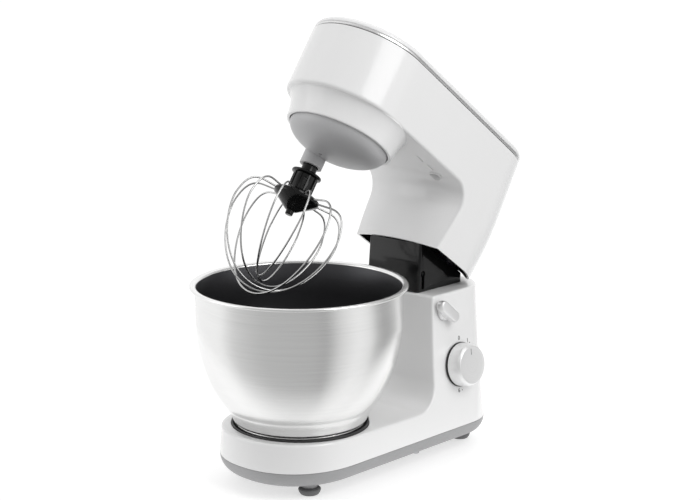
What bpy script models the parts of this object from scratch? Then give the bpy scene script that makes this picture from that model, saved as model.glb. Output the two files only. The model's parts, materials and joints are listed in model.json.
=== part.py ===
"""Tilt-head stand mixer with a bowl, a planetary whisk drive, a speed knob and a head release lever.

Metres, +Z up, the bowl side faces -Y, the knob is on the +X side. The origin is on the floor, under the
middle of the raised mixer's box. The head is modelled level, as it stands when it mixes, in the same
coordinates as the body, and the empty on its hinge then raises it.
"""

import math

import bmesh
import bpy
from mathutils import Matrix, Vector

MM = 0.001
GAP = 0.4 * MM  # between pieces that touch or run on each other
DIVISIONS = 32  # sides of a large round piece

# Floor, feet and pan
FOOT_HEIGHT = 9 * MM
FOOT_RADIUS = 11.5 * MM
FRONT_FOOT_INSET = 33.6 * MM  # foot centre from the base's side
REAR_FOOT_INSET = 36.6 * MM
FRONT_FOOT_SETBACK = 51 * MM  # from the base's front
REAR_FOOT_SETBACK = 27 * MM  # from the column's rear
POST_RADIUS = 7 * MM
POST_HEIGHT = 4 * MM
PAN_DEPTH = 17.2 * MM
PAN_ROUNDING = 15 * MM
WALL = 2.6 * MM

# Bowl seat and base
SEAT_RADIUS = 70.2 * MM
SEAT_WALL = 1.6 * MM
SEAT_RISE = 1.4 * MM  # above the base
SEAT_DEPTH = 16 * MM
BASE_SIDE_MARGIN = 6.4 * MM  # base's half width beyond the seat
BASE_FRONT_MARGIN = 11.8 * MM
BASE_ROUNDNESS = 2.2  # exponent of the front's superellipse
BASE_DEPTH = 29.4 * MM
BASE_FALL = 2.4 * MM  # the top slopes down towards the column
BASE_FULLNESS = 3 * MM  # the base's top is wider than the column's flare by this much

# Bowl
BOWL_RIM_RADIUS = 110 * MM
BOWL_RIM_ROLL = 5.5 * MM
BOWL_RIM_HEIGHT = 3 * MM
BOWL_SHEET = 1.2 * MM
BOWL_HEIGHT = 153.6 * MM
BOWL_HEEL = 8.4 * MM  # the heel's radius beyond the foot ring
BOWL_STEP_HEIGHT = 26.6 * MM
WELL_RADIUS = 68.6 * MM  # the bowl between its heel and its foot ring
WELL_RISE = 1.6 * MM  # above the seat
FOOT_RING_WALL = 2.2 * MM
BOWL_BOTTOM_RISE = 3 * MM  # above the foot ring's lower edge
LUG_REACH = 1.6 * MM
LUG_HEIGHT = 4 * MM
LUG_SPAN = math.radians(24)
LIP_SPAN = math.radians(36)
LUG_COUNT = 3

# Column
BOWL_TO_COLUMN = 28.9 * MM
COLUMN_HEIGHT = 114.4 * MM  # above the base's front top
COLUMN_HALF_WIDTH = 58.2 * MM
COLUMN_DEPTH = 96.6 * MM
COLUMN_LEAN = 7.9 * MM  # the front leans back by this much
COLUMN_FILLET = 30 * MM
COLUMN_CORNER = 40 * MM
BASE_CORNER = 48 * MM
SIDE_FLARE = 1.25  # exponent of the sides' inward curve

# Neck and hinge
NECK_HALF_WIDTH = 36.5 * MM
NECK_WALL = 2 * MM
NECK_CORNER = 3 * MM
NECK_INSET = 0.4 * MM  # front wall behind the column's front edge
NECK_LEAN = 4.6 * MM
NECK_BOW = 1 * MM
NECK_CREST = 3 * MM
NECK_LENGTH = 75.4 * MM
NECK_FRONT_RISE = 52.4 * MM
NECK_REAR_RISE = 8 * MM
KEYHOLE_WIDTH = 3.6 * MM
KEYHOLE_HEIGHT = 21 * MM
HINGE_BACK = 63.1 * MM  # behind the column's front edge
HINGE_RISE = 23.4 * MM  # above the column's top
HINGE_PIN_RADIUS = 4 * MM
BUSH_WALL = 1.2 * MM
EAR_RADIUS = 9.5 * MM
EAR_THICKNESS = 3 * MM
EAR_OFFSET = 18 * MM  # inner face of a bracket's ear from the middle
LUG_OFFSET = 26 * MM  # inner face of a chassis lug from the middle
LUG_THICKNESS = 5 * MM

# Head, level
HEAD_RAISE = math.radians(35.24)
HEAD_HALF_WIDTH = 65.3 * MM
SKIRT_HALF_WIDTH = 57.3 * MM
HEAD_NOSE = 71.1 * MM  # the nose's reach ahead of the bowl's axis
HEAD_CORNER = 45 * MM
SKIRT_CLEARANCE = 13.5 * MM  # skirt above the column's top
UNDERSIDE_RISE = 84.4 * MM  # head's underside above the column's top
HEAD_DEPTH = 67.2 * MM  # underside to seam
SKIRT_OVERHANG = 7.4 * MM  # skirt's front ahead of the column's front
SKIRT_BOW = 10 * MM
ARCH_LENGTH = 24.5 * MM
ARCH_HEIGHT = 26 * MM
HEAD_REAR_OVERHANG = 1.5 * MM  # skirt's rear behind the column
HEAD_REAR_LEAN = 8.5 * MM
SKIRT_REAR_ROUNDING = 18 * MM
BAND_HEIGHT = 2.6 * MM
LID_HEIGHT = 6.4 * MM
LID_CROWN = 3 * MM

# Planetary drive
CARRIER_RADIUS = 52.9 * MM
CARRIER_DROP = 24.6 * MM  # rim below the head's underside
DOME_HEIGHT = 23 * MM
COLLAR_WALL = 3.4 * MM
COLLAR_FLARE = 8 * MM
RING_TEETH = 36
PLANET_TEETH = 12
TOOTH_MODULE = 2.5 * MM
PLANET_DIRECTION = math.radians(164.2)
SLEEVE_RADIUS = 12 * MM
SLEEVE_WALL = 3.4 * MM
SLEEVE_DROP = 31.8 * MM  # sleeve's end below the carrier's rim
SPINDLE_RADIUS = 3.8 * MM
MAIN_SHAFT_RADIUS = 5 * MM
BEARING_RADIUS = 11 * MM
BEARING_HEIGHT = 7 * MM
DRIVEN_PULLEY_RADIUS = 38 * MM
DRIVE_PULLEY_RADIUS = 8 * MM
PULLEY_HEIGHT = 11 * MM
BELT_HEIGHT = 6 * MM
BELT_THICKNESS = 2.4 * MM
MOTOR_BACK = 92 * MM  # behind the bowl's axis
STATOR_HALF = 28 * MM
STATOR_HEIGHT = 23 * MM
ROTOR_RADIUS = 15 * MM
FAN_RADIUS = 24 * MM
MOTOR_SHAFT_RADIUS = 3 * MM

# Whisk, measured down from the sleeve's end
HUB_SHAFT_RADIUS = 8 * MM
HUB_FLANGE_RADIUS = 16 * MM
HUB_COLLAR_RADIUS = 12 * MM
HUB_RIM_RADIUS = 22.5 * MM
HUB_FLANGE_DEPTH = 8.5 * MM
HUB_RIM_DEPTH = 33 * MM
HUB_TIP_DEPTH = 56 * MM
WIRE_LOOPS = 6
WIRE_PHASE = math.radians(178)
WIRE_RADIUS = 1.0 * MM
WHISK_RADIUS = 60 * MM
WHISK_DEPTH = 144.5 * MM
WIRE_NEST = 4 * MM  # step between the bottoms of two loops

# Knob and lever
KNOB_RADIUS = 23 * MM
KNOB_LENGTH = 18 * MM
KNOB_CHAMFER = 3 * MM
KNOB_BACK = 35 * MM  # behind the column's front edge
KNOB_RISE = 36 * MM  # above the base's front top
KNOB_SHAFT_RADIUS = 3 * MM
LEVER_BACK = 15.3 * MM
LEVER_RISE = 96.6 * MM
LEVER_BOSS_RADIUS = 9.5 * MM
LEVER_BOSS_LENGTH = 4 * MM
PADDLE_LENGTH = 33 * MM
PADDLE_WIDTH = 12 * MM
PADDLE_THICKNESS = 8.2 * MM
PADDLE_TURN = math.radians(49)  # from upright towards the front
LEVER_SHAFT_RADIUS = 3 * MM
CAM_RADIUS = 24 * MM

# Inlet at the back
GLAND_RADIUS = 7 * MM
GLAND_RISE = 14 * MM  # above the seam

# Places that follow
PAN_BOTTOM = FOOT_HEIGHT + POST_HEIGHT
SEAM = PAN_BOTTOM + PAN_DEPTH
BASE_TOP = SEAM + BASE_DEPTH
SEAT_TOP = BASE_TOP + SEAT_RISE
SEAT_FLOOR = SEAT_TOP - SEAT_DEPTH
COLUMN_TOP = BASE_TOP + COLUMN_HEIGHT
COLUMN_FRONT = BOWL_RIM_RADIUS + BOWL_TO_COLUMN
COLUMN_REAR = COLUMN_FRONT + COLUMN_DEPTH
BASE_HALF_WIDTH = SEAT_RADIUS + BASE_SIDE_MARGIN
BASE_FRONT = SEAT_RADIUS + BASE_FRONT_MARGIN
FOOT_RING_RADIUS = SEAT_RADIUS - SEAT_WALL - GAP - LUG_REACH
BOWL_STEP_RADIUS = FOOT_RING_RADIUS - FOOT_RING_WALL - GAP
FOOT_RING_BOTTOM = SEAT_FLOOR + 1.6 * MM + GAP
BOWL_BOTTOM = FOOT_RING_BOTTOM + BOWL_BOTTOM_RISE
BOWL_RIM = BOWL_BOTTOM + BOWL_HEIGHT
NECK_FRONT = COLUMN_FRONT + NECK_INSET
HINGE = Vector((0, COLUMN_FRONT + HINGE_BACK, COLUMN_TOP + HINGE_RISE))
SKIRT_BOTTOM = COLUMN_TOP + SKIRT_CLEARANCE
UNDERSIDE = COLUMN_TOP + UNDERSIDE_RISE
HEAD_SEAM = UNDERSIDE + HEAD_DEPTH
SKIRT_FRONT = COLUMN_FRONT - SKIRT_OVERHANG
HEAD_REAR = COLUMN_REAR + HEAD_REAR_OVERHANG
CARRIER_RIM = UNDERSIDE - CARRIER_DROP
CARRIER_TOP = CARRIER_RIM + 8 * MM
PLANET_OFFSET = (RING_TEETH - PLANET_TEETH) / 2 * TOOTH_MODULE
PLANET_AXIS = Vector(
    (PLANET_OFFSET * math.cos(PLANET_DIRECTION), PLANET_OFFSET * math.sin(PLANET_DIRECTION), 0)
)
SLEEVE_END = CARRIER_RIM - SLEEVE_DROP
GEAR_BOTTOM = CARRIER_TOP + 2 * MM
GEAR_HEIGHT = 8 * MM
DECK = UNDERSIDE + WALL + GAP  # the inner floor that the drive stands on
BELT_LEVEL = DECK + 36.5 * MM


# Materials

def material(name, colour, roughness, metallic=0.0):
    made = bpy.data.materials.get(name) or bpy.data.materials.new(name)
    made.use_nodes = True
    shader = made.node_tree.nodes["Principled BSDF"]
    shader.inputs["Base Color"].default_value = (*colour, 1)
    shader.inputs["Roughness"].default_value = roughness
    shader.inputs["Metallic"].default_value = metallic
    made.diffuse_color = (*colour, 1)
    return made


MATERIALS = {
    "white_gloss": ((0.86, 0.86, 0.86), 0.18, 0.0),
    "silver_plastic": ((0.42, 0.42, 0.43), 0.38, 0.2),
    "satin_aluminium": ((0.70, 0.70, 0.70), 0.32, 1.0),
    "steel": ((0.66, 0.66, 0.66), 0.22, 1.0),
    "black_gloss": ((0.012, 0.012, 0.013), 0.12, 0.0),
    "black_plastic": ((0.03, 0.03, 0.03), 0.5, 0.0),
    "rubber": ((0.05, 0.05, 0.052), 0.8, 0.0),
    "cast_metal": ((0.45, 0.45, 0.46), 0.5, 1.0),
    "zinc_steel": ((0.55, 0.55, 0.56), 0.35, 1.0),
    "bronze": ((0.55, 0.36, 0.18), 0.4, 1.0),
    "copper": ((0.72, 0.33, 0.16), 0.35, 1.0),
    "white_nylon": ((0.8, 0.79, 0.74), 0.45, 0.0),
    "board_green": ((0.03, 0.16, 0.06), 0.5, 0.0),
}


# Scene helpers

def clear_scene():
    for obj in list(bpy.data.objects):
        bpy.data.objects.remove(obj)


def collection(name):
    made = bpy.data.collections.new(name)
    bpy.context.scene.collection.children.link(made)
    return made


def pivot(name, place, parent=None, turn=(0, 0, 0)):
    """An empty on a joint's axis. What is attached to it keeps the coordinates it was modelled in."""
    empty = bpy.data.objects.new(name, None)
    PARTS.objects.link(empty)
    empty.location = place
    empty.rotation_euler = turn
    PLACES[name] = Vector(place)
    if parent:
        attach(empty, parent)
    return empty


def attach(obj, parent):
    obj.parent = parent
    obj.matrix_parent_inverse = Matrix.Translation(-PLACES[parent.name])


def add(name, mesh, finish, parent, own_frame=False):
    """Make an object on a pivot, in the design's coordinates or in the pivot's own turned frame."""
    obj = bpy.data.objects.new(name, mesh)
    PARTS.objects.link(obj)
    if finish:
        mesh.materials.append(material(finish, *MATERIALS[finish]))
    obj.parent = parent
    if not own_frame:
        attach(obj, parent)
    return obj


def as_cutter(obj):
    PARTS.objects.unlink(obj)
    CUTTERS.objects.link(obj)
    obj.hide_render = True
    obj.display_type = "WIRE"
    return obj


def combine(obj, other, operation):
    """Cut, join or intersect with another object, which becomes a guide."""
    boolean = obj.modifiers.new(operation.lower(), "BOOLEAN")
    boolean.object = as_cutter(other)
    boolean.operation = operation
    boolean.solver = "EXACT"
    return obj


def cut(obj, *others):
    for other in others:
        combine(obj, other, "DIFFERENCE")
    return obj


def join(obj, *others):
    for other in others:
        combine(obj, other, "UNION")
    return obj


# Shape helpers

def mesh_of(name, bm):
    bmesh.ops.recalc_face_normals(bm, faces=bm.faces)
    mesh = bpy.data.meshes.new(name)
    bm.to_mesh(mesh)
    bm.free()
    mesh.set_sharp_from_angle(angle=math.radians(35))
    return mesh


def block(name, low, high, finish, parent, own_frame=False):
    bm = bmesh.new()
    size = Vector(high) - Vector(low)
    middle = (Vector(high) + Vector(low)) / 2
    bmesh.ops.create_cube(bm, size=1, matrix=Matrix.Translation(middle) @ Matrix.Diagonal((*size, 1)))
    return add(name, mesh_of(name, bm), finish, parent, own_frame)


def rod(name, start, end, radius, finish, parent, sides=24, own_frame=False):
    """A cylinder between two points."""
    start, end = Vector(start), Vector(end)
    along = end - start
    turn = Vector((0, 0, 1)).rotation_difference(along).to_matrix().to_4x4()
    bm = bmesh.new()
    bmesh.ops.create_cone(
        bm, cap_ends=True, segments=sides, radius1=radius, radius2=radius, depth=along.length,
        matrix=Matrix.Translation((start + end) / 2) @ turn,
    )
    return add(name, mesh_of(name, bm), finish, parent, own_frame)


def turned(name, profile, finish, parent, centre=(0, 0), sides=DIVISIONS, ring=False, own_frame=False):
    """A profile of (radius, height) turned about Z. Its outer side runs downwards."""
    mesh = bpy.data.meshes.new(name)
    count = len(profile)
    edges = [(i, (i + 1) % count) for i in range(count if ring else count - 1)]
    mesh.from_pydata([(radius, 0, height) for radius, height in profile], edges, [])
    obj = add(name, mesh, finish, parent, own_frame)
    obj.location = (*centre, 0)
    screw = obj.modifiers.new("turn", "SCREW")
    screw.steps = screw.render_steps = sides
    screw.use_merge_vertices = True
    screw.merge_threshold = 0.01 * MM
    screw.use_smooth_shade = True
    return obj


def prism(name, outline, low, high, finish, parent, axis="Z", own_frame=False):
    """A flat outline given a thickness along an axis: (x, y) along Z, (y, z) along X."""
    place = {"Z": lambda a, b, c: (a, b, c), "X": lambda a, b, c: (c, a, b)}[axis]
    bm = bmesh.new()
    face = bm.faces.new([bm.verts.new(place(a, b, low)) for a, b in outline])
    grown = bmesh.ops.extrude_face_region(bm, geom=[face])["geom"]
    shift = Vector(place(0, 0, high - low))
    bmesh.ops.translate(bm, vec=shift, verts=[v for v in grown if isinstance(v, bmesh.types.BMVert)])
    return add(name, mesh_of(name, bm), finish, parent, own_frame)


def loft(name, rings, finish, parent):
    """Rings of points, all with the same count, joined and capped."""
    bm = bmesh.new()
    rows = [[bm.verts.new(point) for point in ring] for ring in rings]
    count = len(rows[0])
    for lower, upper in zip(rows, rows[1:]):
        for i in range(count):
            j = (i + 1) % count
            bm.faces.new((lower[i], lower[j], upper[j], upper[i]))
    bm.faces.new(rows[0])
    bm.faces.new(rows[-1])
    return add(name, mesh_of(name, bm), finish, parent)


def arc(centre, radius, start, end, steps):
    """Points on an arc, angles in degrees, both ends included."""
    turns = [math.radians(start + (end - start) * i / steps) for i in range(steps + 1)]
    return [(centre[0] + radius * math.cos(t), centre[1] + radius * math.sin(t)) for t in turns]


def bezier(p0, p1, p2, p3, steps):
    points = []
    for i in range(steps + 1):
        t = i / steps
        weights = ((1 - t) ** 3, 3 * t * (1 - t) ** 2, 3 * t * t * (1 - t), t ** 3)
        points.append(tuple(sum(w * p[k] for w, p in zip(weights, (p0, p1, p2, p3))) for k in (0, 1)))
    return points


def plan(half_width, front, rear, corner, roundness, nose_from=0.0, fuller=0.0):
    """The outline seen from above: a rounded front, straight sides and two rear corners."""
    steps = 8
    side = []
    for i in range(steps + 1):
        t = math.pi / 2 * i / steps
        x = (half_width + fuller) * math.sin(t) ** (2 / roundness)
        y = nose_from - (front + nose_from) * math.cos(t) ** (2 / roundness)
        side.append((x, y))
    side += arc((half_width - corner, rear - corner), corner, 0, 90, 5)
    return side + [(-x, y) for x, y in reversed(side) if x > 0.01 * MM]


# Body

def side_share(height):
    """How far up the column's drafted side a height is, 0 at the seam and 1 at the top."""
    return min(max((height - SEAM) / (COLUMN_TOP - SEAM), 0), 1)


def body_half_width(height):
    spread = (1 - side_share(height)) ** SIDE_FLARE
    return COLUMN_HALF_WIDTH + (BASE_HALF_WIDTH - COLUMN_HALF_WIDTH) * spread


def body_plan(height, inset):
    half = body_half_width(height)
    front = BASE_FRONT - 0.45 * (BASE_HALF_WIDTH - half)
    corner = COLUMN_CORNER + (BASE_CORNER - COLUMN_CORNER) * (1 - side_share(height))
    fuller = BASE_FULLNESS * max(1 - abs(height - BASE_TOP) / BASE_DEPTH, 0)
    return plan(half - inset, front - inset, COLUMN_REAR - inset, corner - inset, BASE_ROUNDNESS, fuller=fuller)


def body_blank(name, inset, floor, finish):
    """The body's outer form, or its hollow: a drafted plan kept inside the L of the side view."""
    heights = [floor, SEAM + 14 * MM, BASE_TOP, BASE_TOP + 20 * MM, BASE_TOP + 45 * MM, BASE_TOP + 80 * MM,
               COLUMN_TOP + 5 * MM]
    rings = [[(x, y, z) for x, y in body_plan(z, inset)] for z in heights]
    form = loft(name, rings, finish, machine)
    foot = COLUMN_FRONT - COLUMN_LEAN
    low = BASE_TOP - BASE_FALL
    bend = (foot - COLUMN_FILLET, low + COLUMN_FILLET)
    side_view = [(-2 * BASE_FRONT, floor - 5 * MM), (-2 * BASE_FRONT, BASE_TOP - inset),
                 (-BASE_FRONT, BASE_TOP - inset)]
    side_view += arc(bend, COLUMN_FILLET + inset, -90, 0, 6)
    side_view += [(COLUMN_FRONT + inset, COLUMN_TOP - inset), (2 * COLUMN_REAR, COLUMN_TOP - inset),
                  (2 * COLUMN_REAR, floor - 5 * MM)]
    wide = 2 * BASE_HALF_WIDTH
    guide = prism(name + "_side_view", side_view, -wide, wide, None, machine, axis="X")
    return combine(form, guide, "INTERSECT")


def side_frame(height):
    """The place and the turn of something that stands out of the +X side at a height."""
    rise = 5 * MM
    slope = (body_half_width(height + rise) - body_half_width(height - rise)) / (2 * rise)
    return body_half_width(height), (0, math.pi / 2 + math.atan(slope), 0)


def screw_places():
    """Two screws ahead of the column and two behind, each with its post in the body."""
    front = (BASE_HALF_WIDTH - 17 * MM, COLUMN_FRONT - 27 * MM, BASE_TOP - BASE_FALL - WALL)
    rear = (COLUMN_HALF_WIDTH - 14 * MM, COLUMN_REAR - 45 * MM, COLUMN_TOP - WALL)
    return [(side * x, y, top) for x, y, top in (front, rear) for side in (-1, 1)]


def make_body():
    body = body_blank("body_shell", 0, SEAM + GAP, "white_gloss")
    cut(body, body_blank("body_hollow", WALL, SEAM - 8 * MM, None))
    for i, (x, y, top) in enumerate(screw_places()):
        post = rod(f"post_{i}", (x, y, SEAM + 1.5 * MM), (x, y, top + 1 * MM), 5 * MM, None, machine, sides=12)
        join(body, post)
        bore = rod(f"post_bore_{i}", (x, y, SEAM), (x, y, SEAM + 22 * MM), 2.3 * MM, None, machine, sides=12)
        cut(body, bore)
    cut(
        body,
        rod("seat_hole", (0, 0, SEAT_FLOOR - 10 * MM), (0, 0, BASE_TOP + 10 * MM), SEAT_RADIUS + GAP,
            None, machine, sides=DIVISIONS),
        block("neck_hole", (-31 * MM, NECK_FRONT + 7 * MM, COLUMN_TOP - 10 * MM),
              (31 * MM, NECK_FRONT + NECK_LENGTH - 3 * MM, COLUMN_TOP + 10 * MM), None, machine),
        rod("knob_hole", (0, 0, -8 * MM), (0, 0, 8 * MM), KNOB_SHAFT_RADIUS + 1.2 * MM, None, knob_axis,
            sides=16, own_frame=True),
        rod("lever_hole", (0, 0, -8 * MM), (0, 0, 8 * MM), LEVER_SHAFT_RADIUS + GAP, None, lever_axis,
            sides=16, own_frame=True),
        rod("gland_hole", (0, COLUMN_REAR - 10 * MM, SEAM + GLAND_RISE),
            (0, COLUMN_REAR + 10 * MM, SEAM + GLAND_RISE), GLAND_RADIUS - 2 * MM, None, machine, sides=16),
    )


def foot_places():
    front = (BASE_HALF_WIDTH - FRONT_FOOT_INSET, FRONT_FOOT_SETBACK - BASE_FRONT)
    rear = (BASE_HALF_WIDTH - REAR_FOOT_INSET, COLUMN_REAR - REAR_FOOT_SETBACK)
    return [(side * x, y) for x, y in (front, rear) for side in (-1, 1)]


def pan_ring(height, inset):
    """The pan's outline at a height: its side curves in towards the bottom."""
    down = min(max((SEAM - height) / PAN_DEPTH, 0), 1)
    pull = PAN_ROUNDING * (1 - math.sqrt(1 - down * down)) + inset
    corner = max(BASE_CORNER - pull, 10 * MM)
    outline = plan(BASE_HALF_WIDTH - pull, BASE_FRONT - pull, COLUMN_REAR - pull, corner, BASE_ROUNDNESS)
    return [(x, y, height) for x, y in outline]


def make_pan():
    heights = [PAN_BOTTOM, PAN_BOTTOM + 1.2 * MM, PAN_BOTTOM + 3.6 * MM, PAN_BOTTOM + 8 * MM, SEAM]
    pan = loft("bottom_pan", [pan_ring(z, 0) for z in heights], "silver_plastic", machine)
    inner = [PAN_BOTTOM + WALL, PAN_BOTTOM + 5 * MM, PAN_BOTTOM + 9 * MM, SEAM, SEAM + 5 * MM]
    cut(pan, loft("pan_hollow", [pan_ring(z, WALL) for z in inner], None, machine))
    for i, (x, y) in enumerate(foot_places()):
        start, end = (x, y, FOOT_HEIGHT + GAP), (x, y, PAN_BOTTOM + 1 * MM)
        join(pan, rod(f"foot_post_{i}", start, end, POST_RADIUS, None, machine, sides=16))
    for i, (x, y, _) in enumerate(screw_places()):
        start, end = (x, y, PAN_BOTTOM - 5 * MM), (x, y, PAN_BOTTOM + 10 * MM)
        cut(pan, rod(f"pan_hole_{i}", start, end, 2.6 * MM, None, machine, sides=12))


def make_feet_and_screws():
    for i, (x, y) in enumerate(foot_places(), 1):
        profile = [(0, FOOT_HEIGHT), (FOOT_RADIUS - 1 * MM, FOOT_HEIGHT), (FOOT_RADIUS, FOOT_HEIGHT - 1 * MM),
                   (FOOT_RADIUS - 1.5 * MM, 3 * MM), (FOOT_RADIUS - 3 * MM, 0), (0, 0)]
        turned(f"foot_{i}", profile, "rubber", machine, centre=(x, y), sides=20)
    head_top = PAN_BOTTOM - GAP
    for i, (x, y, _) in enumerate(screw_places(), 1):
        profile = [(0, SEAM + 20 * MM), (2 * MM, SEAM + 20 * MM), (2 * MM, head_top), (4 * MM, head_top),
                   (3.4 * MM, head_top - 2 * MM), (0, head_top - 2 * MM)]
        turned(f"pan_screw_{i}", profile, "zinc_steel", machine, centre=(x, y), sides=12)


def neck_ring(height, inset):
    """The neck's outline at a height: a bowed front that leans back, and round corners."""
    lean = NECK_LEAN * (height - COLUMN_TOP) / NECK_FRONT_RISE
    w, r = NECK_HALF_WIDTH - inset, NECK_CORNER
    front, back = NECK_FRONT + lean + inset, NECK_FRONT + NECK_LENGTH - inset
    middle = [(x / 3 * (w - r), front + NECK_BOW * (x / 3) ** 2) for x in range(0, 3)]
    right = middle + arc((w - r, front + NECK_BOW + r), r, -90, 0, 4)
    right += arc((w - 2 * r, back - 2 * r), 2 * r, 0, 90, 4)
    return [(x, y, height) for x, y in right + [(-x, y) for x, y in reversed(right) if x > 0]]


def make_neck():
    """Black cover over the hinge. Its open top follows the raised head's lower edge."""
    rear = NECK_FRONT + NECK_LENGTH
    low, high = COLUMN_TOP + GAP, COLUMN_TOP + NECK_FRONT_RISE
    neck = loft("neck_cover", [neck_ring(z, 0) for z in (low, high)], "black_gloss", machine)
    cut(neck, loft("neck_hollow", [neck_ring(z, NECK_WALL) for z in (low - 5 * MM, high + 5 * MM)], None, machine))
    crest = NECK_FRONT + NECK_LEAN + NECK_CREST
    slope = [(crest, high), (rear, COLUMN_TOP + NECK_REAR_RISE), (rear + 9 * MM, COLUMN_TOP + NECK_REAR_RISE),
             (rear + 9 * MM, high + 9 * MM), (crest, high + 9 * MM)]
    wide = NECK_HALF_WIDTH + 9 * MM
    cut(neck, prism("neck_slope", slope, -wide, wide, None, machine, axis="X"))
    y, top = NECK_FRONT + 8.6 * MM, COLUMN_TOP + KEYHOLE_HEIGHT
    cut(
        neck,
        rod("keyhole_top", (NECK_HALF_WIDTH - 6 * MM, y, top), (wide, y, top), KEYHOLE_WIDTH * 0.8,
            None, machine, sides=12),
        block("keyhole_slot", (NECK_HALF_WIDTH - 6 * MM, y - KEYHOLE_WIDTH / 2, COLUMN_TOP + 3 * MM),
              (wide, y + KEYHOLE_WIDTH / 2, top), None, machine),
    )


def ear_outline(foot_height, back, radius):
    """A plate from a flat foot up to a round end on the hinge, as (y, z)."""
    y, z = HINGE.y, HINGE.z
    return [(y + back, foot_height), *arc((y, z), radius, 0, 180, 10), (y - back, foot_height)]


def make_hinge():
    foot = COLUMN_TOP - 12 * MM
    plate = block("hinge_bracket", (-30 * MM, HINGE.y - 12 * MM, foot), (30 * MM, HINGE.y + 24 * MM, foot + 3 * MM),
                  "zinc_steel", machine)
    bore = HINGE_PIN_RADIUS + BUSH_WALL + 2 * GAP
    for side, name in ((-1, "left"), (1, "right")):
        x = sorted((side * EAR_OFFSET, side * (EAR_OFFSET + EAR_THICKNESS)))
        ear = prism(f"ear_{name}", ear_outline(foot + 1 * MM, EAR_RADIUS, EAR_RADIUS), *x, None, machine, axis="X")
        join(plate, ear)
        cut(plate, rod(f"ear_bore_{name}", (x[0] - MM, HINGE.y, HINGE.z), (x[1] + MM, HINGE.y, HINGE.z),
                       bore, None, machine, sides=20))
        bush = rod(f"hinge_bush_{name}", (x[0], HINGE.y, HINGE.z), (x[1], HINGE.y, HINGE.z),
                   bore - GAP, "bronze", machine, sides=20)
        cut(bush, rod(f"bush_bore_{name}", (x[0] - MM, HINGE.y, HINGE.z), (x[1] + MM, HINGE.y, HINGE.z),
                      HINGE_PIN_RADIUS + GAP, None, machine, sides=20))


def make_inside_body():
    """Switch behind the knob, control board and the mains inlet."""
    block("speed_switch", (-13 * MM, -11 * MM, -24 * MM), (13 * MM, 11 * MM, -10 * MM), "black_plastic",
          knob_axis, own_frame=True)
    board_back = COLUMN_REAR - WALL - 12 * MM
    block("control_board", (-26 * MM, board_back - 2 * MM, SEAM + 34 * MM), (26 * MM, board_back, SEAM + 96 * MM),
          "board_green", machine)
    z = SEAM + GLAND_RISE
    rear = COLUMN_REAR
    gland = rod("cord_gland", (0, rear - WALL - 5 * MM, z), (0, rear + GAP + 2 * MM, z), GLAND_RADIUS - 2.4 * MM,
                "black_plastic", machine, sides=20)
    join(gland, rod("gland_flange", (0, rear + GAP, z), (0, rear + GAP + 3 * MM, z), GLAND_RADIUS,
                    None, machine, sides=20))
    cut(gland, rod("gland_bore", (0, rear - 20 * MM, z), (0, rear + 20 * MM, z), 3.2 * MM, None, machine, sides=16))


# Bowl and its seat

def ring_sector(name, inner, outer, middle, span, low, high, parent):
    """A block shaped as a slice of a ring, its middle at an angle."""
    start, end = math.degrees(middle - span / 2), math.degrees(middle + span / 2)
    outline = arc((0, 0), outer, start, end, 5) + arc((0, 0), inner, end, start, 5)
    return prism(name, outline, low, high, None, parent)


def lug_angle(i):
    return 2 * math.pi * i / LUG_COUNT - math.pi / 2


def make_seat():
    inner = SEAT_RADIUS - SEAT_WALL
    floor = 1.6 * MM
    profile = [(0, SEAT_FLOOR + floor), (inner, SEAT_FLOOR + floor), (inner, SEAT_TOP), (SEAT_RADIUS, SEAT_TOP),
               (SEAT_RADIUS, SEAT_FLOOR), (0, SEAT_FLOOR)]
    seat = turned("bowl_seat", profile, "black_plastic", machine)
    lip_low = FOOT_RING_BOTTOM + LUG_HEIGHT + 1.5 * MM
    for i in range(LUG_COUNT):
        join(seat, ring_sector(f"seat_lip_{i}", FOOT_RING_RADIUS + GAP, inner + 0.8 * MM, lug_angle(i), LIP_SPAN,
                               lip_low, lip_low + 3 * MM, machine))


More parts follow.
